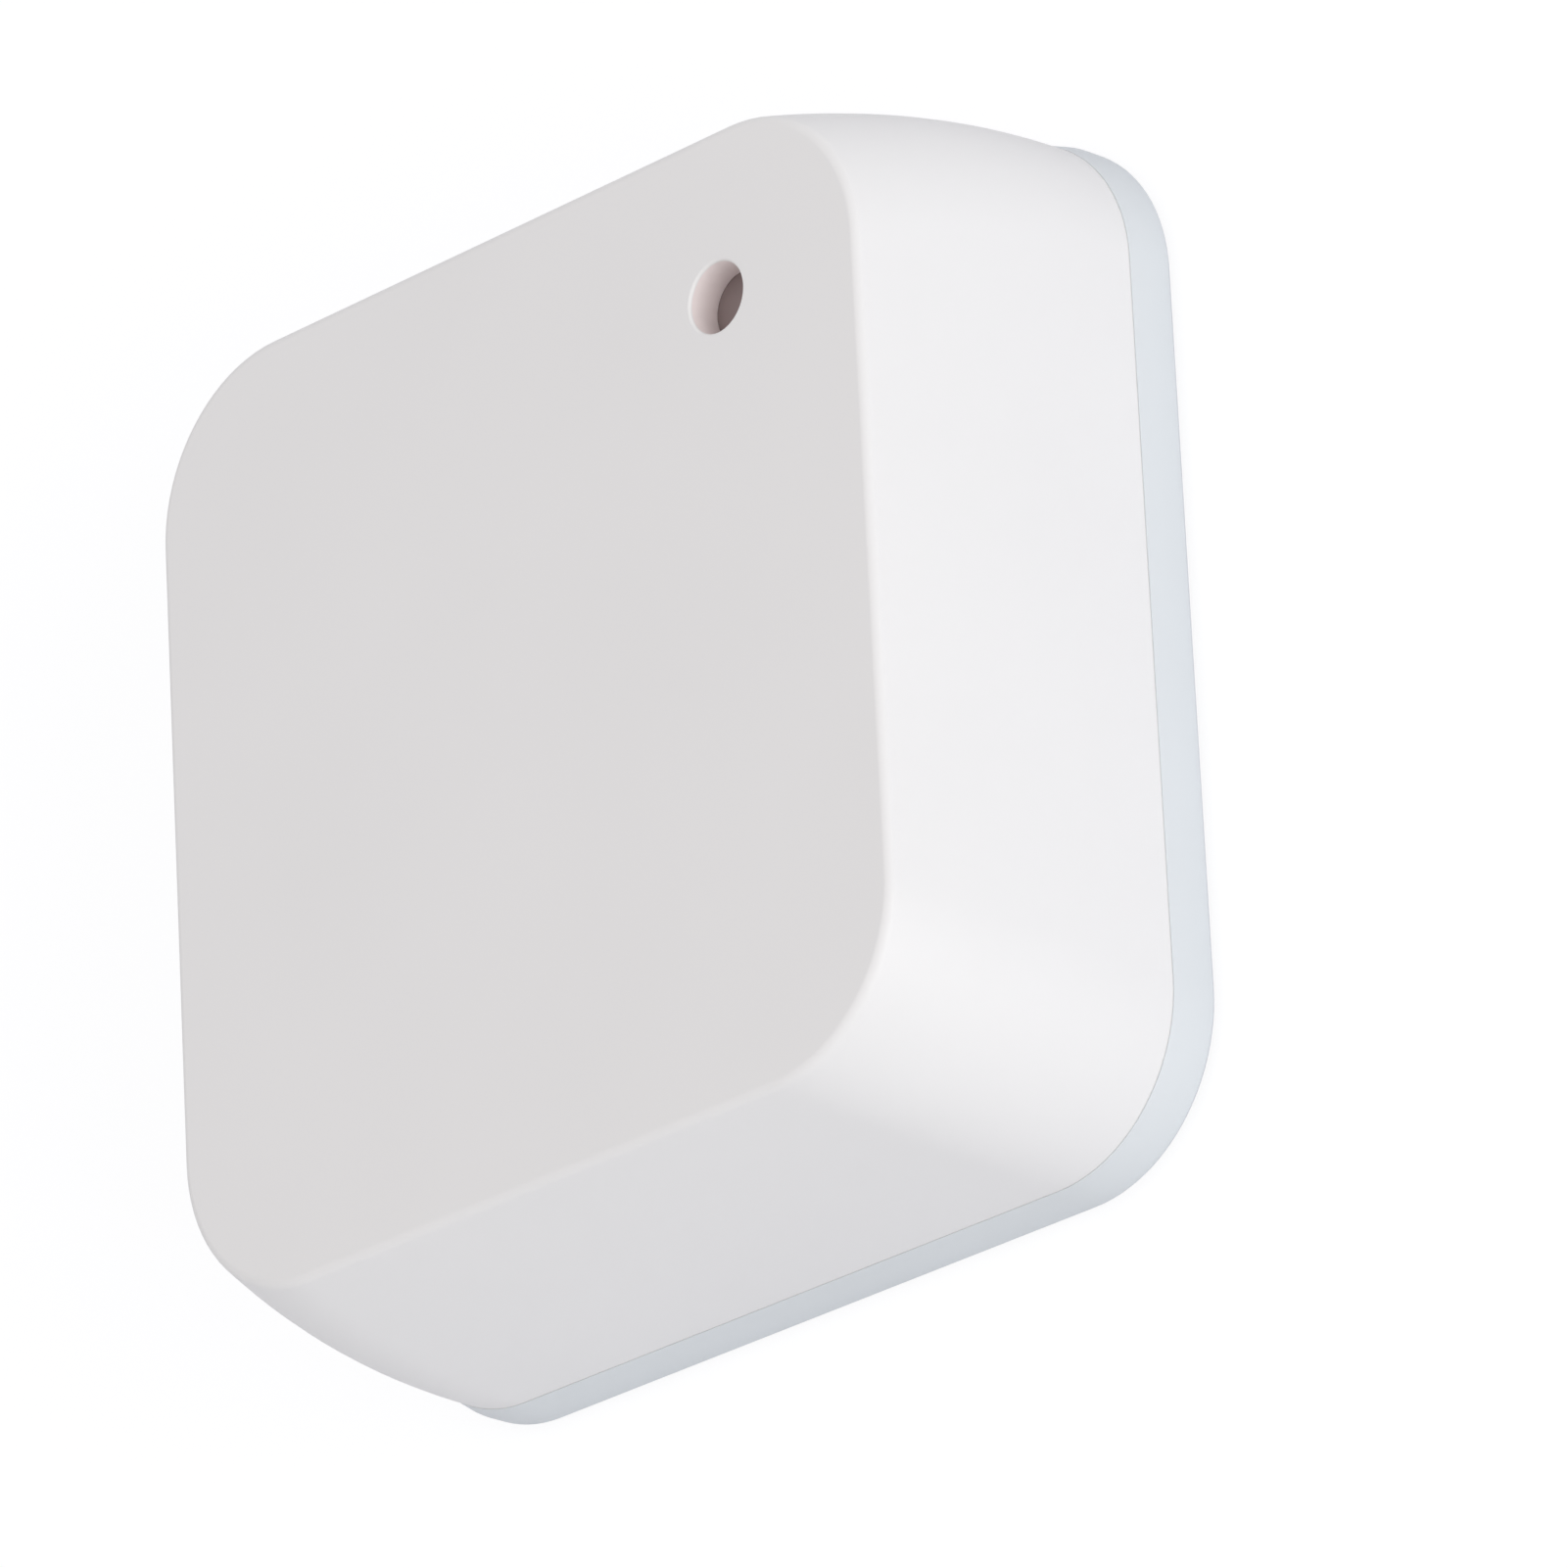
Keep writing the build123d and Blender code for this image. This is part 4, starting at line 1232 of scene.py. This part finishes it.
class SENSOR_OT_reset_switch(bpy.types.Operator):
    """Models the small switch behind the reset button: body, folded cover and plunger"""

    bl_idname = "sensor.reset_switch"
    bl_label = "Reset switch"

    def execute(self, context):
        h = sizes("hardware")
        (start, end), y_span, (low, high) = spans("switch_body")
        (px0, px1), py, pz = spans("switch_plunger")
        cy, cz = middle(py), middle(pz)
        body = add_box((start, end), y_span, (low, high))
        way = h.plunger + 0.1
        combine(body, add_peg(way, (start - BEYOND, start + 1.2), (0, cy, cz), 40, along_x()))
        for y in y_span:
            combine(body, add_box((start + 1.2, start + 2.2), about(y, 0.3), (low - BEYOND, high + BEYOND)))
        legs = grid([start + 0.8, end - 0.4], [y_span[0] + 0.2, y_span[1] - 0.2])
        paint(soften(body, 0.06, 2, 50), "black_moulding")
        body = join([body, add_pads(0.8, 0.5, legs, low, 0.3)])
        finish(body, "switch_moulding", "switch_body", "black_moulding")

        (x0, x1), y_span, (low, high) = spans("switch_bracket")
        sheet = add_box((x0, x1), y_span, (low, high))
        skin, sides = 0.2, (y_span[0] - BEYOND, y_span[1] + BEYOND)
        combine(sheet, add_box((x0 + skin, x1 + BEYOND), sides, (low - BEYOND, high - skin)))
        combine(sheet, add_peg(way, (x0 - BEYOND, x0 + BEYOND), (0, cy, cz), 40, along_x()))
        with editing():
            fold = lambda e: abs(mid(e).x - x0) < EPS and abs(mid(e).z - high) < EPS
            round_edges(fold, 0.17, 4)
        finish(soften(sheet, 0.03, 2, 50), "switch_sheet", "switch_bracket", "screw_steel")

        r = h.plunger
        profile = [(r - 0.25, px0), (r - 0.08, px0 + 0.05), (r, px0 + 0.2)]
        profile += [(r, px1 - 0.1), (r - 0.1, px1)]
        plunger = add_turned(profile, (0, cy, cz), 48, along_x())
        finish(plunger, "switch_plunger_pin", "switch_plunger", "plunger_plastic", 40)
        return {"FINISHED"}


class SENSOR_OT_radar_board(bpy.types.Operator):
    """Models the radar board, its copper patches and its two chips"""

    bl_idname = "sensor.radar_board"
    bl_label = "Radar board"

    def execute(self, context):
        s, h = sizes("board"), sizes("hardware")
        board = edge_of_laminate(copy_of("radar_board"), "radar_laminate", s)
        top = spans("radar_board")[2][1]
        _, pin_y, _ = spans("header_pins")
        places = grid(row(HEADER_PINS, h.header_pitch), [middle(pin_y)])
        rings = add_ring(0.52, 0.85, places, top, s.solder)
        _, y_span, _ = spans("radar_chip")
        spots = grid([-5.4, -4.2, 4.2, 5.4], [y_span[0] - 0.2, y_span[1] + 0.3])
        board = join([board, rings, add_pads(0.5, 0.9, spots, top, 0.3)])
        finish(board, "radar_circuit_board", "radar_board", "radar_laminate")
        patches = soften(copy_of("radar_patches"), 0.02, 1)
        finish(patches, "radar_patch_copper", "radar_patches", "contact_gold")
        for node, leads, up in (("radar_chip", 8, 1), ("radar_processor", 10, -1)):
            finish(add_chip(node, leads, s, up), node + "_package", node, "chip_moulding")
        return {"FINISHED"}


class SENSOR_OT_radar_mounting(bpy.types.Operator):
    """Models the pin header and the two nylon pillars that carry the radar board"""

    bl_idname = "sensor.radar_mounting"
    bl_label = "Radar board's mounting"

    def execute(self, context):
        h = sizes("hardware")
        _, y_span, (low, high) = spans("header_pins")
        cy, r = middle(y_span), width(y_span) / 2
        pin = add_box(about(0, 2 * r), y_span, (low, high))
        with editing():
            for z in (low, high):
                inner = z + 0.25 if z == low else z - 0.25
                side = -1 if z == low else 1
                pick("faces", lambda f: f.normal.z * side > 0.9)
                bpy.ops.transform.translate(value=(0, 0, inner - z))
                bpy.ops.mesh.extrude_region_move(TRANSFORM_OT_translate={"value": (0, 0, z - inner)})
                bpy.ops.transform.resize(value=(0.5, 0.5, 1), center_override=(0, cy, z))
        paint(soften(pin, 0.02, 1, 60), "contact_gold")
        board, radar = spans("main_board")[2], spans("radar_board")[2]
        fillet = ((0.62, 0), (0.5, 0.12), (0.36, 0.45))
        cone = lambda z, way: add_turned([(r, z + way * rise) for r, rise in fillet], (0, cy, 0), 20)
        solder = paint(join([cone(board[0], -1), cone(radar[1], 1)]), "solder_tin")
        places = grid(row(HEADER_PINS, h.header_pitch), [0])
        finish(copies(join([pin, solder]), places), "header_pin_row", "header_pins", "contact_gold")

        _, y_span, z_span = spans("header_block")
        block = add_box(about(0, h.header_pitch), y_span, z_span)
        with editing():
            round_edges(upright, 0.35, 1)
        hole = (z_span[0] - BEYOND, z_span[1] + BEYOND)
        combine(block, add_box(about(0, 0.52), about(middle(y_span), 0.52), hole))
        header = copies(soften(block, 0.04, 1), places)
        # the cells touch, so they are made one, without the walls between them
        with editing():
            bpy.ops.mesh.select_mode(type="FACE")
            bpy.ops.mesh.select_all(action="SELECT")
            bpy.ops.mesh.remove_doubles(threshold=CRUMB)
            bpy.ops.mesh.select_all(action="DESELECT")
            bpy.ops.mesh.select_interior_faces()
            bpy.ops.mesh.delete(type="FACE")
        finish(header, "header_moulding", "header_block", "black_moulding")

        x_span, y_span, (low, high) = spans("radar_pillars")
        r, at = width(y_span) / 2, x_span[1] - width(y_span) / 2
        foot, seat, peg, waist = board[1], radar[0], h.peg, r - 0.12
        profile = [(peg - 0.2, low), (peg, low + 0.15), (peg, foot), (r - 0.1, foot), (r, foot + 0.1)]
        profile += [(r, foot + 1.2), (waist, foot + 1.35), (waist, seat - 1.35), (r, seat - 1.2)]
        profile += [(r, seat - 0.1), (r - 0.1, seat), (peg, seat), (peg, high - 0.3), (peg - 0.25, high)]
        pillars = copies(add_turned(profile, (0, middle(y_span), 0), 48), grid([-at, at], [0]))
        finish(pillars, "radar_pillar_pair", "radar_pillars", "pillar_nylon", 40)
        return {"FINISHED"}


def add_module_board(s):
    """The radio module's board, with gilt half holes along its two long edges."""
    x_span, y_span, (low, top) = spans("module_board")
    board = add_slab(x_span, y_span, (low, top), 0.6, 5)
    ys = half_hole_rows(s)
    hole = add_peg(s.castellation, (low - BEYOND, top + BEYOND), sides=20)
    combine(board, copies(hole, grid(x_span, ys)))
    soften(board, s.edge, 1, 50)
    paint(board, "module_laminate", "laminate_edge", "contact_gold")
    paint_faces(board, 1, on_side)

    def in_half_hole(face):
        """Whether a face is the wall of one of the half holes."""
        at = face.calc_center_median()
        near = min(abs(at.y - y) for y in ys) < s.castellation + 0.05
        return near and on_side(face) and abs(abs(at.x) - x_span[1]) > 0.02

    paint_faces(board, 2, in_half_hole)
    lands = add_pads(0.75, 0.72, grid([x_span[0] + 0.85, x_span[1] - 0.85], ys), top, s.solder)
    return join([board, paint(lands, "contact_gold")])


def add_module_can(h):
    """Pressed steel can over the radio chip, with rounded shoulders, a sunk field and side slots."""
    x_span, y_span, (low, high) = spans("module_can")
    can = add_slab(x_span, y_span, (low, high), 0.6, 6)
    t = h.can_sheet
    inner = [(a + t, b - t) for a, b in (x_span, y_span)]
    with editing():
        round_edges(lambda e: all(v.co.z > high - EPS for v in e.verts), 0.3, 4)
    field = [(a + 0.9, b - 0.9) for a, b in (x_span, y_span)]
    combine(can, add_slab(*field, (high - 0.07, high + BEYOND), 0.6, 6))
    combine(can, add_slab(*inner, (low - BEYOND, high - t), 0.4, 4))
    across = (x_span[0] - BEYOND, x_span[1] + BEYOND)
    for y in row(3, 4.0, middle(y_span)):
        combine(can, add_box(across, about(y, 1.4), (low - 0.1, low + 0.25)))
    return can


class SENSOR_OT_radio_module(bpy.types.Operator):
    """Models the radio module: board, can, chip and printed antenna"""

    bl_idname = "sensor.radio_module"
    bl_label = "Radio module"

    def execute(self, context):
        s, h = sizes("board"), sizes("hardware")
        finish(add_module_board(s), "module_circuit_board", "module_board", "module_laminate")
        finish(add_module_can(h), "module_can_pressing", "module_can", "can_steel", 35)
        finish(add_chip("module_chip", 12, s), "module_chip_package", "module_chip", "chip_moulding")
        antenna = soften(copy_of("module_antenna"), 0.02, 1)
        finish(antenna, "module_antenna_copper", "module_antenna", "contact_gold")
        return {"FINISHED"}


def add_regulator(s):
    """Regulator's moulded body: both halves lean in from the middle, with a round dimple."""
    x_span, y_span, (low, high) = spans("regulator_body")
    half = (low + high) / 2
    body = add_box(x_span, y_span, (low + 0.03, high))
    centre = (middle(x_span), middle(y_span))
    with editing():
        bpy.ops.mesh.select_all(action="SELECT")
        bpy.ops.mesh.bisect(plane_co=(0, 0, half), plane_no=(0, 0, 1))
        for side, z in ((-1, low), (1, high)):
            pick("faces", lambda f: f.normal.z * side > 0.9)
            bpy.ops.transform.resize(value=(0.965, 0.93, 1), center_override=(*centre, z))
    at = (x_span[0] + 0.9, y_span[0] + 0.9, 0)
    combine(body, add_peg(0.4, (high - 0.06, high + BEYOND), at, 28))
    return soften(body, s.chip_edge, 2, 12)


def add_coil(h):
    """Ferrite drum with copper turns in its groove."""
    x_span, y_span, (low, high) = spans("coil_body")
    r = width(x_span) / 2
    at = (middle(x_span), middle(y_span), 0)
    rim, neck = 0.45, r - h.groove
    drum = [(r - 0.15, low), (r, low + 0.1), (r, low + rim), (neck, low + rim), (neck, high - rim - 0.15)]
    drum += [(r, high - rim - 0.15), (r, high - 0.25), (r - 0.08, high - 0.1), (r - 0.25, high)]
    drum += [(r - 0.7, high), (r - 0.8, high - 0.06), (0.5, high - 0.06)]
    coil = paint(add_turned(drum, at, 64), "ferrite")
    rise = high - low - 2 * rim - 0.15
    turns = int(rise / (2 * h.wire))
    rings = []
    for z in row(turns, rise / turns, low + rim + rise / 2):
        bpy.ops.mesh.primitive_torus_add(
            major_radius=neck + h.wire - 0.01, minor_radius=h.wire,
            major_segments=64, minor_segments=10, location=(*at[:2], z),
        )
        settle()
        rings.append(bpy.context.object)
    return join([coil, paint(join(rings), "coil_wire")])


def add_capacitor():
    """Aluminium can with a rolled bead at its foot and a dark half moon on its top."""
    x_span, y_span, (low, high) = spans("bulk_capacitor")
    r, at = width(x_span) / 2, (middle(x_span), middle(y_span), 0)
    foot = ((0.3, 0), (0.08, 0.1), (0, 0.25), (0, 0.55), (0.14, 0.75), (0, 0.95))
    top = ((0, 0.3), (0.09, 0.09), (0.3, 0), (0.42, 0), (0.47, 0.04))
    profile = [(r - inset, low + rise) for inset, rise in foot]
    profile += [(r - inset, high - drop) for inset, drop in top]
    can = add_turned(profile, at, 64)
    edge = at[0] - 0.3 * r
    with editing():
        pick("faces", lambda f: f.normal.z > 0.99 and f.calc_area() > 2)
        bpy.ops.mesh.bisect(plane_co=(edge, 0, 0), plane_no=(1, 0, 0))
    paint(can, "can_aluminium", "dark_mark")
    dark = lambda f: f.normal.z > 0.99 and len(f.verts) > 6 and f.calc_center_median().x < edge
    return paint_faces(can, 1, dark)


def add_footed_base(node, cut=False):
    """Moulded base with a tinned foot at each side; cut takes off two of its corners."""
    x_span, y_span, (low, high) = spans(node)
    base = add_box(x_span, y_span, (low, high))
    cx, cy = middle(x_span), middle(y_span)
    if cut:
        with editing():
            round_edges(lambda e: upright(e) and mid(e).x < cx, 0.7, 1)
    paint(soften(base, 0.05, 1), "black_moulding")
    feet = add_pads(0.66, 1.6, grid(row(2, width(x_span) - 0.7, cx), [cy]), low, 0.2)
    return join([base, feet])


class SENSOR_OT_power_parts(bpy.types.Operator):
    """Models the regulator, the coil and the capacitor"""

    bl_idname = "sensor.power_parts"
    bl_label = "Power parts"

    def execute(self, context):
        s, h = sizes("board"), sizes("hardware")
        finish(add_regulator(s), "regulator_package", "regulator_body", "chip_moulding", 12)
        leads = soften(copy_of("regulator_leads"), 0.05, 2)
        finish(leads, "regulator_lead_set", "regulator_leads", "screw_steel")
        finish(add_footed_base("coil_base"), "coil_foot", "coil_base", "black_moulding")
        finish(add_coil(h), "coil_drum", "coil_body", "ferrite", 40)
        finish(add_footed_base("bulk_base", True), "capacitor_foot", "bulk_base", "black_moulding")
        finish(add_capacitor(), "capacitor_can", "bulk_capacitor", "can_aluminium", 40)
        return {"FINISHED"}


def add_small_part(s, name):
    """Chip part over the origin, with rounded tinned ends and a body of the named finish."""
    long, wide = SMALL_PART
    low, high = spans("chip_parts")[2]
    body = add_block(about(0, long - 0.2), about(0, wide - 0.04), (low, high - 0.03), 0.02)
    ends = [
        paint(add_block(about(x, s.small_end), about(0, wide), (low, high), 0.05), "solder_tin")
        for x in row(2, long - s.small_end)
    ]
    return join([paint(body, name), *ends])


class SENSOR_OT_small_parts(bpy.types.Operator):
    """Models the crystal and the small chip parts"""

    bl_idname = "sensor.small_parts"
    bl_label = "Small parts"

    def execute(self, context):
        s = sizes("board")
        x_span, y_span, (low, high) = spans("crystal")
        base = paint(add_block(x_span, y_span, (low, high - 0.25), 0.04, 0.4), "crystal_ceramic")
        lid = add_slab(about(middle(x_span), 2.8), about(middle(y_span), 2.1), (high - 0.27, high), 0.3, 5)
        with editing():
            pick("faces", lambda f: f.normal.z > 0.99)
            bpy.ops.mesh.inset(thickness=0.18, depth=-0.1)
            bpy.ops.mesh.inset(thickness=0.1, depth=0.1)
        lid = paint(soften(lid, 0.03, 2, 50), "can_steel")
        finish(join([lid, base]), "crystal_package", "crystal", "can_steel")

        places = small_part_places()
        kinds = (("chip_ceramic", places[::2]), ("resistor_glaze", places[1::2]))
        made = [copies(add_small_part(s, name), spots) for name, spots in kinds]
        finish(join(made), "small_chip_parts", "chip_parts", "chip_ceramic")
        return {"FINISHED"}


class SENSOR_OT_finishes(bpy.types.Operator):
    """Makes every finish and gives the CAD nodes theirs"""

    bl_idname = "sensor.finishes"
    bl_label = "Finishes"

    def execute(self, context):
        make_finishes()
        slots = {p["node"]: p["material_slot"] for p in frame["record"]["subparts"]}
        for node, obj in frame["nodes"].items():
            obj.data.materials.clear()
            obj.data.materials.append(finish_named(slots[node]))
        return {"FINISHED"}


def stage_floor():
    """Pale floor that shows white to the camera and keeps the object's soft shadow."""
    bpy.ops.mesh.primitive_plane_add(size=6.0, location=(0, 0, -0.00005))
    floor = bpy.context.object
    floor.name = "stage_floor"
    material = bpy.data.materials.new("stage_paper")
    material.use_nodes = True
    t = Tree(material.node_tree)
    drift = t.node(
        "ShaderNodeTexNoise", {}, Vector=t.node("ShaderNodeTexCoord").outputs["Object"], Scale=3.0
    ).outputs[0]
    paper = t.node(
        "ShaderNodeBsdfDiffuse", {},
        Color=t.mix(drift, (0.855, 0.865, 0.905, 1), (0.87, 0.88, 0.92, 1)), Roughness=0.5,
    )
    white = t.node("ShaderNodeEmission", {}, Color=(1, 1, 1, 1), Strength=1.09)
    clear = t.node("ShaderNodeBsdfTransparent")
    seen = t.node("ShaderNodeLightPath").outputs["Is Camera Ray"]
    share = t.math("MULTIPLY", seen, 0.8)
    top = t.node("ShaderNodeMixShader", {}, i0=share, i1=paper.outputs[0], i2=white.outputs[0])
    under = t.node("ShaderNodeNewGeometry").outputs["Backfacing"]
    both = t.node("ShaderNodeMixShader", {}, i0=under, i1=top.outputs[0], i2=clear.outputs[0])
    t.node("ShaderNodeOutputMaterial", {}, Surface=both.outputs[0])
    floor.data.materials.append(material)


def stage_world(strength):
    """Soft light from all round, and plain white where the camera, gloss or glass sees it."""
    world = bpy.data.worlds.new("stage_world")
    bpy.context.scene.world = world
    world.use_nodes = True
    t = Tree(world.node_tree)
    path = t.node("ShaderNodeLightPath")
    seen = t.math("ADD", path.outputs["Is Camera Ray"], path.outputs["Is Glossy Ray"], True)
    seen = t.math("ADD", seen, path.outputs["Is Transmission Ray"], True)
    light = t.node("ShaderNodeBackground", {}, Color=(1, 1, 1, 1), Strength=strength)
    white = t.node("ShaderNodeBackground", {}, Color=(1, 1, 1, 1), Strength=1.0)
    mix = t.node("ShaderNodeMixShader", {}, i0=seen, i1=light.outputs[0], i2=white.outputs[0])
    t.node("ShaderNodeOutputWorld", {}, Surface=mix.outputs[0])


def add_lamp(name, direction, distance, size, power, tint=(1, 1, 1)):
    """Square area lamp that faces the object from a direction."""
    towards = Vector(direction).normalized()
    bpy.ops.object.light_add(type="AREA", location=towards * distance)
    lamp = bpy.context.object
    lamp.name = name
    lamp.rotation_mode = "QUATERNION"
    lamp.rotation_quaternion = towards.to_track_quat("Z", "Y")
    lamp.data.shape, lamp.data.size, lamp.data.energy, lamp.data.color = "SQUARE", size, power, tint
    lamp.visible_camera = False
    return lamp


def stage_camera(s):
    """Camera at the photograph's angle, with +Y up in the picture."""
    aim = Vector((0.8035, -0.1921, 2.3875)) * MM
    back = Vector((0.657374, -0.369623, 0.656688)).normalized()
    bpy.ops.object.camera_add(location=aim + back * s.distance * MM)
    camera = bpy.context.object
    right = Vector((0, 1, 0)).cross(back).normalized()
    up = back.cross(right)
    turn = Matrix.Rotation(s.roll, 3, back)
    camera.rotation_mode = "QUATERNION"
    camera.rotation_quaternion = Matrix([turn @ right, turn @ up, back]).transposed().to_quaternion()
    camera.data.lens, camera.data.sensor_width = s.lens, 36.0
    camera.data.clip_start, camera.data.clip_end = 0.01, 20.0
    bpy.context.scene.camera = camera


class SENSOR_OT_stage(bpy.types.Operator):
    """Sets up the floor, the lamps, the world and the camera"""

    bl_idname = "sensor.stage"
    bl_label = "Stage"

    def execute(self, context):
        s = sizes("stage")
        stage_floor()
        stage_world(s.world)
        add_lamp("key_lamp", (0.894, -0.325, 0.309), 1.0, 0.68, s.key)
        add_lamp("fill_lamp", (-0.1, 0.1, 1), 0.9, 0.7, s.fill, (1, 0.6, 0.8))
        add_lamp("low_side_lamp", (0.1, -0.93, 0.33), 1.0, 0.7, s.side)
        add_lamp("high_side_lamp", (0.45, 0.83, 0.35), 1.0, 0.7, s.side)
        stage_camera(s)
        context.scene.view_settings.view_transform = "Standard"
        return {"FINISHED"}


class SENSOR_PT_panel(bpy.types.Panel):
    """Lists the pieces and their settings"""

    bl_idname = "SENSOR_PT_panel"
    bl_label = "Presence sensor"
    bl_space_type = "VIEW_3D"
    bl_region_type = "UI"
    bl_category = "Sensor"

    def draw(self, context):
        for name in SETTINGS:
            settings = getattr(context.scene, name)
            box = self.layout.box()
            for prop in own_props(settings):
                box.prop(settings, prop.identifier)
        for operator in OPERATORS:
            self.layout.operator(operator.bl_idname)


SETTINGS = {
    "sensor_shell": SensorShellSettings,
    "sensor_openings": SensorOpeningsSettings,
    "sensor_cover": SensorCoverSettings,
    "sensor_board": SensorBoardSettings,
    "sensor_hardware": SensorHardwareSettings,
    "sensor_look": SensorLookSettings,
    "sensor_stage": SensorStageSettings,
}
OPERATORS = [
    SENSOR_OT_finishes,
    SENSOR_OT_front_shell,
    SENSOR_OT_rear_cover,
    SENSOR_OT_adhesive_pad,
    SENSOR_OT_reset_button,
    SENSOR_OT_light_guide,
    SENSOR_OT_light_parts,
    SENSOR_OT_main_board,
    SENSOR_OT_screws,
    SENSOR_OT_power_inlet,
    SENSOR_OT_reset_switch,
    SENSOR_OT_radar_board,
    SENSOR_OT_radar_mounting,
    SENSOR_OT_radio_module,
    SENSOR_OT_power_parts,
    SENSOR_OT_small_parts,
    SENSOR_OT_stage,
]


def register():
    for kind in [*SETTINGS.values(), *OPERATORS, SENSOR_PT_panel]:
        bpy.utils.register_class(kind)
    for name, kind in SETTINGS.items():
        setattr(bpy.types.Scene, name, bpy.props.PointerProperty(type=kind))


def unregister():
    for name in SETTINGS:
        delattr(bpy.types.Scene, name)
    for kind in reversed([*SETTINGS.values(), *OPERATORS, SENSOR_PT_panel]):
        bpy.utils.unregister_class(kind)


def main():
    register()
    for operator in OPERATORS:
        family, name = operator.bl_idname.split(".")
        getattr(getattr(bpy.ops, family), name)()


if __name__ == "__main__":
    main()
